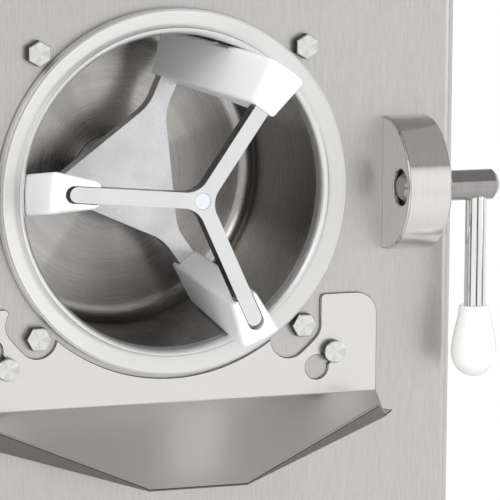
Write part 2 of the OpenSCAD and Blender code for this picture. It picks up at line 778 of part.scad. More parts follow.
// A plate on two flanges behind the bulkhead, outside the belt's loop.
module motor_bracket() color("#a9a7a3") at_barrel() at_motor() {
  difference() {
    box([-motor_half, motor_plate_y, -motor_half], [motor_half, motor_y0, motor_half]);
    y_cyl(motor_shaft_r + 10, 0, cab_d);
    at_motor_screws() y_cyl(motor_screw_r + play, 0, cab_d);
  }
  front = bulkhead_y + bulkhead_t;
  box([-motor_half, front, motor_half - motor_plate_t], [motor_half, motor_y0, motor_half]);
  box([motor_half - motor_plate_t, front, -motor_half], [motor_half, motor_y0, motor_half]);
}

// ---- Refrigeration ----

// A can with domed ends: the radius follows a rounded curve of the height.
module compressor() color("#26282b") at_barrel() translate([-comp_x, comp_y, comp_z0 - axis_z]) {
  rotate_extrude() polygon([[0, 0], for (i = [0 : 14]) let (t = 2 * i / 14 - 1)
    [comp_r * pow(1 - pow(abs(t * 0.96), 5), 0.4), comp_h * (t + 1) / 2], [0, comp_h]]);
  translate([0, 0, comp_h / 2 - 3]) cylinder(h = 6, r = comp_r + 3);
  translate([comp_r - 8, -20, 60]) cube([26, 40, 44]);
  difference() {
    translate([-75, -60, -comp_plate_t]) cube([150, 120, comp_plate_t]);
    at_comp_feet() cylinder(h = 20, r = 5 + play, center = true);
  }
}

module at_comp_feet() for (x = [-62, 62], y = [-48, 48]) translate([x, y, 0]) children();

// Rubber grommets under the compressor's plate, with a neck through it.
module compressor_mounts() color("#2b2b2d") at_barrel()
  translate([-comp_x, comp_y, pan_z - axis_z]) at_comp_feet() {
    cylinder(h = comp_foot_h, r = 11);
    cylinder(h = comp_foot_h + comp_plate_t + 3, r = 5);
    translate([0, 0, comp_foot_h + comp_plate_t]) cylinder(h = 3, r = 9);
  }

// A finned block between two end plates that stand on the pan, with the tubes' return bends.
module condenser() color("#9da0a2") at_barrel() {
  half = cond_w / 2;
  box([-half, cond_y0 + 3, cond_z0 - axis_z], [half, cond_y1 - 3, cond_z1 - axis_z]);
  for (x = [-half, half - sheet])
    box([x, cond_y0, pan_z - axis_z], [x + sheet, cond_y1, cond_z1 - axis_z]);
  for (side = [-1, 1], i = [0 : 4])
    translate([side * half, cond_mid, cond_z0 - axis_z + 40 + (cond_h - 80) * i / 4])
      rotate([90, 0, side * 90 - 90]) rotate([0, 0, -90])
        rotate_extrude(angle = 180) translate([9, 0]) circle(tube_r);
}

// The shroud stands on the condenser's end plates and closes the space to the fan's collar.
module fan_shroud() color("#a9a7a3") at_barrel() translate([0, 0, shroud_z - axis_z]) {
  half = cond_w / 2;
  difference() {
    box([-half, shroud_y, -shroud_half], [half, cond_y0, shroud_half]);
    box([sheet - half, shroud_y + sheet, sheet - shroud_half],
        [half - sheet, cond_y0 + over, shroud_half - sheet]);
    y_cyl(collar_r, shroud_y - over, cond_y0);
  }
  y_turn() tube_profile(collar_r, collar_r + sheet, collar_y, shroud_y + sheet);
}

// Pitched blades on a hub, trimmed to a circle inside the collar.
module condenser_fan() color("#3a3d40") at_barrel() translate([0, 0, shroud_z - axis_z]) {
  intersection() {
    y_cyl(fan_r, fan_y0, fan_y1);
    for (i = [0 : fan_blades - 1]) spin(360 / fan_blades * i)
      translate([18, (fan_y0 + fan_y1) / 2, 0]) rotate([24, 0, 0]) box([0, -1, -26], [fan_r, 1, 26]);
  }
  y_cyl(24, fan_y0, fan_y1);
  y_cyl(3, fan_motor_y1 - 16, fan_y1);
}

// The motor hangs on three arms that reach over the collar to the shroud.
module fan_motor() color("#3f4a55") at_barrel() translate([0, 0, shroud_z - axis_z]) {
  difference() {
    union() {
      y_cyl(fan_motor_r, fan_motor_y0 + 4, fan_motor_y1 - 4);
      y_cyl(fan_motor_r - 4, fan_motor_y0, fan_motor_y1);
    }
    y_cyl(3 + shaft_fit, fan_motor_y1 - 17, fan_motor_y1 + over);
  }
  for (a = [30 : 120 : 270]) spin(a) {
    box([fan_motor_r - 6, fan_motor_y1 - 16, -6], [collar_r + sheet + 10, fan_motor_y1 - 13, 6]);
    box([collar_r + sheet + 7, fan_motor_y1 - 16, -6], [collar_r + sheet + 10, shroud_y, 6]);
  }
}

module filter_drier() color("#b06a3c") at_barrel() translate([drier_x, drier_y0, drier_z - axis_z]) {
  y_cyl(12, 12, drier_len - 12);
  rotate([-90, 0, 0]) cylinder(h = 12, r1 = tube_r + 1, r2 = 12);
  translate([0, drier_len, 0]) rotate([90, 0, 0]) cylinder(h = 12, r1 = tube_r + 1, r2 = 12);
}

function unit(v) = v / norm(v);

// Places Z along one direction and X along another that is square to it.
module aim(at, z, x) {
  y = cross(z, x);
  multmatrix([[x.x, y.x, z.x, at.x], [x.y, y.y, z.y, at.y], [x.z, y.z, z.z, at.z]]) children();
}

// A tube along points that turn square corners, with a bend at each.
module tube_run(points) {
  last = len(points) - 1;
  for (i = [0 : last - 1]) {
    way = unit(points[i + 1] - points[i]);
    from = points[i] + (i == 0 ? 0 : tube_bend) * way;
    to = points[i + 1] - (i == last - 1 ? 0 : tube_bend) * way;
    aim(from, way, abs(way.z) > 0.5 ? [1, 0, 0] : [0, 0, 1]) cylinder(h = norm(to - from), r = tube_r);
  }
  for (i = [1 : 1 : last - 1]) {
    before = unit(points[i] - points[i - 1]);
    after = unit(points[i + 1] - points[i]);
    aim(points[i] + tube_bend * (after - before), cross(-after, before), -after)
      rotate_extrude(angle = 90) translate([tube_bend, 0]) circle(tube_r);
  }
}

module discharge_line() color("#b9734a") at_barrel() tube_run([
  [-comp_x, comp_y, comp_top], [-comp_x, comp_y, cond_top + 24],
  [-comp_x, cond_mid, cond_top + 24], [-comp_x, cond_mid, cond_top]]);

module liquid_line() color("#b9734a") at_barrel() {
  tube_run([[cond_w / 2, cond_mid, low_z], [drier_x, cond_mid, low_z],
            [drier_x, drier_y0 + drier_len, low_z]]);
  tube_run([[drier_x, drier_y0, low_z], [drier_x, liquid_y, low_z], [0, liquid_y, low_z],
            [0, liquid_y, -jacket_r - play]]);
}

module suction_line() color("#b9734a") at_barrel() tube_run([
  [0, suction_y, jacket_r + play], [0, suction_y, suction_up], [-comp_x, suction_y, suction_up],
  [-comp_x, suction_back, suction_up], [-comp_x, suction_back, comp_top - 60],
  [-comp_x, comp_y - comp_r, comp_top - 60]]);

// ---- Dasher ----

// The corner between an arm along X and an edge whose normal lies at turn, rounded by radius r.
module web_fillet(arm_half, edge, turn, r) {
  centre = [(edge + r - (arm_half + r) * sin(turn)) / cos(turn), arm_half + r];
  difference() {
    polygon([[0, 0], [centre.x, arm_half], centre, centre - r * [cos(turn), sin(turn)]]);
    translate(centre) circle(r + seam);
  }
}

// Three arms with round tips, filleted where they meet.
module spider_outline() for (i = [0 : 2]) rotate(arm_angle + 120 * i) {
  translate([0, -arm_w / 2]) square([bar_at, arm_w]);
  translate([bar_at, 0]) circle(arm_w / 2);
  web_fillet(arm_w / 2, arm_w / 2, 30, hub_fillet);
}

module dasher_spider() color("#e4e4e4") at_barrel() difference() {
  y_plate(spider_y0, arm_t) spider_outline();
  y_cyl(plug_r + shaft_fit, spider_y0 - over, spider_y1 + over);
  bars(bar_r + shaft_fit);
}

module spider_plug() color("#dfe6ee") at_barrel() {
  y_cyl(plug_r, spider_y0, spider_y1);
}

// A triangle whose corners run out into points, with fillets beside the points.
module plate_outline() {
  rotate(plate_angle) circle(r = 2 * plate_edge, $fn = 3);
  for (i = [0 : 2]) rotate(plate_angle + 120 * i) {
    translate([0, -point_w / 2]) square([bar_at, point_w]);
    translate([bar_at, 0]) circle(point_w / 2);
    for (side = [0, 1]) mirror([0, side]) web_fillet(point_w / 2, plate_edge, 60, point_fillet);
  }
}

module dasher_plate() color("#e4e4e4") at_barrel() difference() {
  union() {
    y_plate(plate_y0, plate_t) plate_outline();
    y_cyl(boss_r, plate_y0 + over, plate_y1 + boss_len);
  }
  y_hex(drive_af + 0.3, plate_y1 + boss_len - socket_len, plate_y1 + boss_len + over);
  bars(bar_r + shaft_fit);
}

// The bars lean back along the blades' twist, from the spider's arms to the plate's points.
module bars(r) {
  rise = 2 * bar_at * sin(blade_twist / 2);
  run = plate_mid - spider_mid;
  reach = (spider_mid + plate_mid) / 2;
  half = (plate_y1 - spider_y0) / 2 - bar_set;
  for (i = [0 : 2]) spin(arm_angle + blade_twist / 2 + 120 * i)
    translate([bar_at * cos(blade_twist / 2), reach, 0])
      rotate([atan(rise / run), 0, 0]) y_cyl(r, -half, half);
}

module dasher_bars() color("#d5d5d5") at_barrel() bars(bar_r);

// A blade's section: a wedge whose outer face follows the bore, with rounded corners.
module blade_section() offset(r = 2.5, $fn = 24) offset(delta = -2.5) intersection() {
  circle(blade_out, $fn = 180);
  polygon([[blade_in, -blade_inner_w / 2], [blade_out - 4, -blade_outer_w / 2], [bore_r, -blade_outer_w / 2],
           [bore_r, blade_outer_w / 2], [blade_out - 4, blade_outer_w / 2], [blade_in, blade_inner_w / 2]]);
}

// A slot from a blade's inner edge for an arm or a point of width w.
module tip_slot(angle, w, y0, y1) spin(angle) {
  half = w / 2 + slot_play;
  box([blade_in - 10, y0, -half], [bar_at + slot_end - slot_play, y1, half]);
  translate([bar_at + slot_end - slot_play, 0, 0]) y_cyl(half, y0, y1);
}

// A blade from y0 back to the plate's rear face, turning about the axis as it goes.
module blade(arm, y0, closed) difference() {
  angle = arm_angle + 120 * arm;
  rear_angle = angle + twist_rate * (plate_y1 - spider_mid);
  translate([0, plate_y1, 0]) rotate([90, 0, 0]) rotate(rear_angle)
    linear_extrude(height = plate_y1 - y0, twist = twist_rate * (plate_y1 - y0), slices = 16, $fn = 30)
      blade_section();
  tip_slot(angle, arm_w, closed ? spider_y0 - play : y0 - over, spider_y1 + play);
  tip_slot(angle + blade_twist, point_w, plate_y0 - play, plate_y1 + over);
  bars(bar_r + play);
}

// The upper blade's slot is closed in front, and its trailing edge has a shallow notch.
module blade_upper() color("#f4f4f4") at_barrel() difference() {
  blade(0, spider_y0 - blade_cap, true);
  spin(arm_angle + blade_twist / 2 + 8) box([blade_out - 2.5, 0, -6], [bore_r, 20, 12]);
}

module blade_left() color("#f4f4f4") at_barrel() blade(1, spider_y0 - 0.5, false);

module blade_lower() color("#f4f4f4") at_barrel() blade(2, spider_y0 - 0.5, false);

// ---- Chute ----

// The part of a ring between two directions.
module arc_band(radius, half, from, to) intersection() {
  difference() {
    circle(radius + half);
    circle(radius - half);
  }
  polygon([[0, 0], 2 * radius * [cos(from), sin(from)], 2 * radius * [cos(to), sin(to)]]);
}

// What a disc of radius r covers on the chute while the chute turns off its studs.
module swept_disc(radius, angle, r) {
  for (a = [angle, angle - keyhole_turn]) rotate(a) translate([radius, 0]) circle(r);
  arc_band(radius, r - seam, angle - keyhole_turn, angle);
}

module keyhole(angle) {
  swept_disc(stud_circle, angle, stud_r + slot_gap);
  rotate(angle - keyhole_turn) translate([stud_circle, 0]) circle(keyhole_r);
}

// An ear of width w on the right, with its two upper corners rounded.
module ear(w) translate([chute_half, fold_z]) {
  translate([-w, over]) square([w - ear_corner, ear_h - ear_inner - over]);
  translate([ear_inner - w, over]) square([w - ear_inner - ear_corner, ear_h - over]);
  translate([ear_inner - w, ear_h - ear_inner]) circle(ear_inner);
  translate([-ear_corner, ear_h - ear_corner]) circle(ear_corner);
}

// The chute's upright plate: two ears beside the ring, cleared for the bolts through the turn.
module chute_outline() difference() {
  union() {
    translate([-chute_half, fold_z + fold_start]) square([2 * chute_half, ear_h - ear_corner - fold_start]);
    ear(ear_w);
    mirror([1, 0]) ear(ear_w_left);
  }
  translate([0, -bolt_at]) square([chute_half - ear_w, bolt_at]);
  translate([ear_w_left - chute_half, -bolt_circle * sin(45 - keyhole_turn)])
    square([chute_half - ear_w_left, bolt_at]);
  circle(ring_r + chute_gap);
  for (angle = [-45, 225]) swept_disc(bolt_circle, angle, bolt_clear);
  keyhole(-stud_angle);
  keyhole(180 + stud_angle);
}

// The floor's frame: X across, Y down the slope from the fold, and -Z up from the floor.
module on_floor() translate([0, chute_y0, fold_z]) rotate([180 + floor_slope, 0, 0]) children();

// Square beside the fold, then narrowing to the lip, with a small tab at each corner.
module floor_outline() {
  polygon([[-chute_half, fold_start], [chute_half, fold_start], [chute_half, square_len],
           [lip_half, floor_len], [-lip_half, floor_len], [-chute_half, square_len]]);
  for (side = [-1, 1]) polygon([
    [side * (chute_half - over), square_len - 6], [side * (chute_half + corner_tab), square_len - 4.4],
    [side * chute_half, square_len], [side * (chute_half - over), square_len]]);
}

// The bend from the plate into the floor.
module fold() translate([0, chute_y0 - fold_r, fold_z + fold_start]) rotate([0, 90, 0]) rotate(floor_slope)
  rotate_extrude(angle = 90 - floor_slope) translate([fold_r, -chute_half]) square([sheet, 2 * chute_half]);

// A flange that stands up from the right slanted edge and runs out at the lip.
module slant_flange() translate([chute_half, square_len, 0]) rotate([0, 0, 180 - flange_turn])
  rotate([-90, 0, 0]) linear_extrude(height = sheet)
    polygon([[0, -sheet], [flange_len, -sheet], [flange_len, 0], [flange_rake, side_flange], [0, 0]]);

module chute() color("#d6d5d2") at_barrel() {
  y_plate(chute_y0, sheet) chute_outline();
  fold();
  on_floor() {
    linear_extrude(height = sheet) floor_outline();
    both_sides() slant_flange();
  }
}

// Headed studs that the chute's keyholes hang on.
module chute_studs() color("#e6e5e3") at_barrel()
  for (side = [-1, 1]) translate([side * stud_x, 0, stud_z]) {
    y_cyl(stud_r, -stud_h + over, 0);
    y_cyl(stud_head_r, 0.6 - stud_h, chute_y0 - play - 0.1);
    translate([0, 0.6 - stud_h, 0]) rotate([90, 0, 0])
      cylinder(h = 0.6, r1 = stud_head_r, r2 = stud_head_r - 0.6);
  }

// ---- Gate blocks and lever ----

module at_block_screws() for (z = [-block_screw_z, block_screw_z])
  translate([block_x + block_len / 2, 0, z]) children();

// A half-round block with a bore across the machine, on the right of the barrel.
module gate_block() difference() {
  translate([block_x, 0, 0]) rotate([0, 90, 0]) rotate([0, 0, 180]) rotate_extrude(angle = 180)
    polygon([[0, 0], [block_r - block_chamfer, 0], [block_r, block_chamfer],
             [block_r, block_len - block_chamfer], [block_r - block_chamfer, block_len], [0, block_len]]);
  translate([0, -pin_out, 0]) {
    x_cyl(block_bore_r, block_x - over, block_end + over);
    for (end = [0, 1]) translate([block_x + end * block_len, 0, 0]) mirror([end, 0, 0])
      rotate([0, 90, 0]) cylinder(h = 0.6, r1 = block_bore_r + 0.6, r2 = block_bore_r);
  }
  at_block_screws() y_cyl(block_screw_r + shaft_fit, -15, over);
}

// The gate's hinge pin goes through this one.
module hinge_block() color("#cfcdc9") at_barrel() mirror([1, 0, 0]) gate_block();

module lever_block() color("#cfcdc9") at_barrel() gate_block();

module block_screws() color("#b8b6b2") at_barrel() both_sides() at_block_screws() {
  y_cyl(5.5, sheet, sheet + 4);
  y_cyl(block_screw_r, -14, sheet + over);
}

module lever_bush() color("#303033") at_barrel() translate([0, -pin_out, 0]) difference() {
  x_cyl(block_bore_r - 0.1, block_x + 6, block_end - 2);
  x_cyl(lever_shaft_r + 0.1, block_x, block_end);
}

module lever_shaft() color("#77756f") at_barrel() translate([0, -pin_out, 0]) difference() {
  translate([block_x, 0, 0]) rotate([0, 90, 0]) rotate_extrude() polygon([
    [0, 0], [lever_shaft_r - shaft_chamfer, 0], [lever_shaft_r, shaft_chamfer],
    [lever_shaft_r, block_len + shaft_out - shaft_chamfer],
    [lever_shaft_r - shaft_chamfer, block_len + shaft_out], [0, block_len + shaft_out]]);
  translate([rod_at, 0, -lever_shaft_r - over]) cylinder(h = lever_shaft_r + 4, r = rod_r - 2.5 + shaft_fit);
}

// The rod seats on the shaft's round side, and its thinner ends go into the shaft and the knob.
module lever_rod() color("#d9dbdd") at_barrel() translate([rod_at, -pin_out, 0]) {
  difference() {
    translate([0, 0, -rod_len]) cylinder(h = rod_len, r = rod_r);
    x_cyl(lever_shaft_r + shaft_fit, -rod_r - over, rod_r + over);
  }
  translate([0, 0, -rod_len - knob_len / 2]) cylinder(h = rod_len + knob_len / 2 + 2.5, r = rod_r - 2.5);
}

// A drop-shaped knob: a smooth swell below the neck, then a round end.
module lever_knob() color("#f3f0ea") at_barrel() translate([rod_at, -pin_out, -rod_len]) difference() {
  swell = 0.66;
  rotate_extrude() polygon([[0, 0], [neck_r - 0.6, 0],
    for (i = [1 : 12]) let (t = i / 12)
      [neck_r + (knob_r - neck_r) * pow(sin(90 * t), 1.6), -0.4 - (swell * knob_len - 0.4) * t],
    for (a = [15 : 15 : 75]) [knob_r * cos(a), -knob_len * (swell + (1 - swell) * sin(a))],
    [0, -knob_len]]);
  translate([0, 0, -knob_len / 2 - 0.5]) cylinder(h = knob_len, r = rod_r - 2.5 + shaft_fit);
}

// ---- Controls and inlet ----

// A rocker's paddle: a round body about its pin, with a shallow V in its face.
module rocker() translate([0, rocker_pivot, 0]) rotate([rocker_swing / 2, 0, 0]) {
  face = rocker_pivot + rocker_face;
  rise = rocker_h * tan(rocker_swing / 2);
  intersection() {
    x_cyl(rocker_h / 2, -rocker_w / 2, rocker_w / 2);
    translate([-rocker_w / 2, 0, 0]) rotate([90, 0, 90]) linear_extrude(height = rocker_w)
      polygon([[-face, 0], [-face - rise, rocker_h], [rocker_h / 2, rocker_h],
               [rocker_h / 2, -rocker_h], [-face - rise, -rocker_h]]);
  }
  x_cyl(1.5, -rocker_w / 2 - 1.2, rocker_w / 2 + 1.2);
}

// A rim on the panel and a closed body behind it, with holes for the rocker's pin.
module bezel() difference() {
  half_w = rocker_w / 2 + play;
  half_h = rocker_h / 2 + play + 0.1;
  union() {
    box([-half_w - bezel_rim, -2, -half_h - bezel_rim], [half_w + bezel_rim, 0, half_h + bezel_rim]);
    box([-half_w - bezel_wall, -1, -half_h - bezel_wall], [half_w + bezel_wall, 21, half_h + bezel_wall]);
  }
  box([-half_w, -3, -half_h], [half_w, 19, half_h]);
  translate([0, rocker_pivot, 0]) x_cyl(1.5 + shaft_fit, -half_w - 1.3, half_w + 1.3);
}

module switch_bezels() color("#2b2b2d") at_barrel()
  for (x = [dasher_switch_x, cooling_switch_x]) translate([x, 0, controls_z]) bezel();

module dasher_switch() color("#1f2022") at_barrel() translate([dasher_switch_x, 0, controls_z]) rocker();

module cooling_switch() color("#1f2022") at_barrel() translate([cooling_switch_x, 0, controls_z]) rocker();

// A round knob with a flat grip across it.
module timer_knob() color("#1f2022") at_barrel() translate([timer_x, -0.8, controls_z]) {
  y_cyl(timer_r, -4, 0);
  intersection() {
    y_cyl(timer_r - 1.5, -timer_d, 0);
    box([-4.5, -timer_d, -timer_r], [4.5, 0, timer_r]);
  }
  y_cyl(3, -1, 14);
}

module timer_body() color("#d8d4c6") at_barrel() translate([timer_x, 0, controls_z]) difference() {
  union() {
    y_cyl(5, -0.4, sheet + over);
    box([-20, sheet, -20], [20, sheet + 34, 20]);
  }
  y_cyl(3 + shaft_fit, -over, 15);
}

// A sheet box behind the controls, open towards the panel.
module control_box() color("#a9a7a3") at_barrel() translate([0, 0, controls_z]) difference() {
  box([-box_half, sheet, -box_h / 2], [box_half, sheet + box_d, box_h / 2]);
  box([box_t - box_half, sheet - over, box_t - box_h / 2],
      [box_half - box_t, sheet + box_d - box_t, box_h / 2 - box_t]);
}

// A mains inlet: a rimmed socket through the rear panel, with three flat pins.
module power_inlet() color("#2b2b2d") at_barrel() translate([inlet_x, cab_d, inlet_z]) {
  difference() {
    union() {
      box([-29, 0, -17], [29, 2, 17]);
      box([-24, -28, -14], [24, 0, 14]);
    }
    box([-20, -18, -10], [20, 3, 10]);
  }
  for (pin = [[-10, -4], [10, -4], [0, 4]])
    box([pin.x - 1, -19, pin.y - 2.5], [pin.x + 1, -2, pin.y + 2.5]);
}

// ---- Nodes ----

front_panel();
left_side_panel();
right_side_panel();
rear_panel();
top_panel();
base_pan();
corner_posts();
feet();
drive_bulkhead();
panel_screws();
barrel_ring();
barrel();
barrel_flange();
barrel_bolts();
barrel_nuts();
cooling_jacket();
barrel_insulation();
bearing_housing();
shaft_seal();
shaft_bearings();
drive_shaft();
driven_pulley();
drive_belt();
motor_pulley();
motor_shaft();
drive_motor();
motor_bracket();
compressor();
compressor_mounts();
condenser();
fan_shroud();
condenser_fan();
fan_motor();
filter_drier();
discharge_line();
liquid_line();
suction_line();
dasher_spider();
spider_plug();
dasher_plate();
dasher_bars();
blade_upper();
blade_left();
blade_lower();
chute();
chute_studs();
hinge_block();
lever_block();
block_screws();
lever_bush();
lever_shaft();
lever_rod();
lever_knob();
switch_bezels();
dasher_switch();
cooling_switch();
timer_knob();
timer_body();
control_box();
power_inlet();
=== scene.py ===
"""Looks of a countertop batch freezer for ice cream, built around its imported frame.

Every length is in metres and every place is in the part's frame: Z up, the barrel's axis at X = 0,
and the open barrel facing -Y.
"""

import json
import logging
import math
from collections.abc import Callable, Iterable, Sequence
from dataclasses import dataclass
from enum import Enum

import bmesh
import bpy
from bmesh.types import BMEdge, BMesh, BMVert
from bpy.types import Material, Node, NodeSocket, NodeTree, Object
from mathutils import Matrix, Vector


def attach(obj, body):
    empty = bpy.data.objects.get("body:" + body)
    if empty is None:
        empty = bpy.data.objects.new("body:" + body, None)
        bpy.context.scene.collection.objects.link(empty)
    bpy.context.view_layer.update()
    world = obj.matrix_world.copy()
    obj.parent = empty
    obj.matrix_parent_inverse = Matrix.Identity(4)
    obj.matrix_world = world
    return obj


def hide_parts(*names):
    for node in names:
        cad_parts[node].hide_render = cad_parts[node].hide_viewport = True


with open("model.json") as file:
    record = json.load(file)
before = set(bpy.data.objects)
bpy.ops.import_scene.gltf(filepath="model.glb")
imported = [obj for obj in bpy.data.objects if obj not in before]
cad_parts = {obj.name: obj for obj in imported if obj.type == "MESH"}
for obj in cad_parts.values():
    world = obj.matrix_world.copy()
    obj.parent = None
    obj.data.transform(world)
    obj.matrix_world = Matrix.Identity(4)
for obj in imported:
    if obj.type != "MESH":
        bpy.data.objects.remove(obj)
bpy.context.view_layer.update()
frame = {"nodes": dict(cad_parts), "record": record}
log = logging.getLogger("batch_freezer")

Colour = tuple[float, float, float]
Point = tuple[float, float, float]
Pair = tuple[float, float]
Profile = Sequence[Pair]
Sockets = dict[str, NodeSocket]
Inputs = dict[str, Point | float]
Shaper = Callable[[BMesh], None]

ORIGIN: Point = (0.0, 0.0, 0.0)
WHITE: Colour = (1.0, 1.0, 1.0)
ALONG_Y: Point = (0.0, 1.0, 0.0)


# ---- shader graphs


class Graph:
    """A shader node tree, written as calls that return sockets."""

    def __init__(self, tree: NodeTree) -> None:
        """Keeps the tree that the nodes go into."""
        self.tree = tree

    def node(self, kind: str, feeds: dict[str | int, object] | None = None, **settings: object) -> Node:
        """Adds a node.

        Args:
            kind: The node's type name.
            feeds: Values or sockets for its inputs, by name or number.
            **settings: Its own properties.

        Returns:
            The new node.
        """
        made = self.tree.nodes.new(kind)
        for key, value in settings.items():
            setattr(made, key, value)
        for key, value in (feeds or {}).items():
            self.feed(made.inputs[key], value)
        return made

    def feed(self, socket: NodeSocket, value: object) -> None:
        """Links a socket to an input, or sets the input's value.

        Args:
            socket: The input.
            value: A socket, a number, a vector or a colour.
        """
        if isinstance(value, NodeSocket):
            self.tree.links.new(value, socket)
        elif socket.type == "RGBA" and len(value) == 3:
            socket.default_value = (*value, 1.0)
        else:
            socket.default_value = value

    def group(self, tree: NodeTree, **feeds: object) -> Sockets:
        """Places a node group, fed by its inputs' names, and returns its outputs by name."""
        made = self.node("ShaderNodeGroup", node_tree=tree)
        for label, value in feeds.items():
            self.feed(made.inputs[label], value)
        return {socket.name: socket for socket in made.outputs}

    def math(self, operation: str, a: object, b: object = 0.0, c: object = 0.0) -> NodeSocket:
        """Works out a number from up to three numbers or sockets and returns its socket."""
        return self.node("ShaderNodeMath", {0: a, 1: b, 2: c}, operation=operation).outputs[0]

    def vector(self, operation: str, a: object, b: object = ORIGIN, scale: object = 1.0) -> NodeSocket:
        """Works with up to two vectors and returns the socket of the vector or number that it gives."""
        made = self.node("ShaderNodeVectorMath", {0: a, 1: b, 3: scale}, operation=operation)
        return made.outputs[1 if operation in ("LENGTH", "DOT_PRODUCT") else 0]

    def parts(self, vector: object) -> Sequence[NodeSocket]:
        """Returns the sockets of a vector's X, Y and Z."""
        return self.node("ShaderNodeSeparateXYZ", {0: vector}).outputs

    def mix(self, share: object, a: object, b: object) -> NodeSocket:
        """Mixes two colours, with a share from 0 to 1 of the second, and returns the result's socket."""
        return self.node("ShaderNodeMix", {0: share, 6: a, 7: b}, data_type="RGBA").outputs[2]

    def remap(self, value: object, span: Pair, start: float, end: float) -> NodeSocket:
        """Maps a span of a number smoothly to start and end, clamps it, and returns its socket."""
        feeds = {0: value, 1: span[0], 2: span[1], 3: start, 4: end}
        return self.node("ShaderNodeMapRange", feeds, interpolation_type="SMOOTHSTEP").outputs[0]

    def noise(self, vector: object, scale: object, detail: float = 2.0, roughness: float = 0.5) -> NodeSocket:
        """Samples a noise pattern at a place and returns its socket, from 0 to 1."""
        feeds = {"Vector": vector, "Scale": scale, "Detail": detail, "Roughness": roughness}
        return self.node("ShaderNodeTexNoise", feeds).outputs["Fac"]

    def place(self) -> NodeSocket:
        """Returns the socket of a point's place in its piece's own frame."""
        return self.node("ShaderNodeTexCoord").outputs["Object"]


def make_group(name: str, inputs: Inputs, build: Callable[[Graph, Sockets], Sockets]) -> NodeTree:
    """Builds a shader node group once.

    Args:
        name: The group's name.
        inputs: Each input's default, by name: a number, or a point for a vector.
        build: Makes the nodes from the inputs' sockets and returns the outputs, which are numbers.

    Returns:
        The group's tree.
    """
    if name in bpy.data.node_groups:
        return bpy.data.node_groups[name]
    tree = bpy.data.node_groups.new(name, "ShaderNodeTree")
    for label, value in inputs.items():
        kind = "NodeSocketFloat" if isinstance(value, float) else "NodeSocketVector"
        tree.interface.new_socket(label, in_out="INPUT", socket_type=kind).default_value = value
    graph = Graph(tree)
    entry = graph.node("NodeGroupInput")
    results = build(graph, {label: entry.outputs[label] for label in inputs})
    for label in results:
        tree.interface.new_socket(label, in_out="OUTPUT", socket_type="NodeSocketFloat")
    graph.node("NodeGroupOutput", results)
    return tree


def brushed_group() -> NodeTree:
    """Builds the straight grain of brushed sheet.

    Returns:
        A group that takes a place and a fineness along each axis, and gives the grain and a cloudy mask.
    """

    def build(graph: Graph, given: Sockets) -> Sockets:
        """Makes the group's nodes."""
        place = graph.vector("MULTIPLY", given["Place"], given["Fineness"])
        fine = graph.noise(place, 1.0, 3.0, 0.62)
        coarse = graph.noise(graph.vector("SCALE", place, scale=0.14), 1.0, 2.0)
        grain = graph.math("MULTIPLY_ADD", fine, 0.88, graph.math("MULTIPLY", coarse, 0.12))
        return {"Grain": grain, "Cloud": graph.noise(given["Place"], 9.0, 3.0, 0.55)}

    return make_group("Brushed grain", {"Place": ORIGIN, "Fineness": (1.0, 1.0, 1.0)}, build)


def turned_group() -> NodeTree:
    """Builds the round grain that a lathe leaves.

    Returns:
        A group that takes a place, the axis's place and the plane across it, and gives the grain, slow
        bands, a sector-shaped pattern about the axis for painted reflection, and the place along the axis.
    """

    def build(graph: Graph, given: Sockets) -> Sockets:
        """Makes the group's nodes."""
        place = graph.vector("SUBTRACT", given["Place"], given["Centre"])
        across = graph.vector("MULTIPLY", place, given["Across"])
        radius = graph.vector("LENGTH", across)
        along = graph.vector("DOT_PRODUCT", place, graph.vector("SUBTRACT", (1.0, 1.0, 1.0), given["Across"]))
        direction = graph.vector("NORMALIZE", across)
        path = graph.node("ShaderNodeCombineXYZ", {0: radius, 1: along}).outputs[0]
        lines = graph.vector("SCALE", path, scale=given["Fineness"])
        lines = graph.vector("ADD", lines, graph.vector("SCALE", direction, scale=0.5))
        return {
            "Grain": graph.noise(lines, 1.0, 3.0, 0.65),
            "Bands": graph.noise(graph.vector("SCALE", path, scale=110.0), 1.0, 2.0),
            # Painted reflection: this slow pattern round the axis later darkens sector-shaped patches,
            # standing in for the bow-tie highlights that turned steel reflects.
            "Reflection_sector": graph.noise(direction, given["Sectors"], 2.0, 0.6),
            "Along": along,
        }

    inputs = {"Place": ORIGIN, "Centre": ORIGIN, "Across": ORIGIN, "Fineness": 1.0, "Sectors": 1.0}
    return make_group("Turned grain", inputs, build)


def handling_group() -> NodeTree:
    """Builds the soft marks of handling and of a rag.

    Returns:
        A group that takes a place and the marks' number per metre, and gives a mask of smudges.
    """

    def build(graph: Graph, given: Sockets) -> Sockets:
        """Makes the group's nodes."""
        smudge = graph.noise(given["Place"], given["Size"], 4.0, 0.6)
        return {"Smudge": graph.remap(smudge, (0.35, 0.7), 0.0, 1.0)}

    return make_group("Handling marks", {"Place": ORIGIN, "Size": 1.0}, build)


# ---- finishes


FULL: Pair = (0.0, 1.0)
NOISE_MIDDLE: Pair = (0.35, 0.65)
GRAIN_SPAN: Pair = (0.3, 0.7)


class Lay(Enum):
    """The fineness of a brushed grain along X, Y and Z, per metre; it runs along the least."""

    UPRIGHT = (2200.0, 2200.0, 110.0)
    LEVEL = (40.0, 1800.0, 1800.0)
    AROUND = (2000.0, 260.0, 24.0)


def shade(colour: Colour, factor: float) -> Colour:
    """Returns a colour made lighter or darker by a factor."""
    return tuple(min(1.0, part * factor) for part in colour)


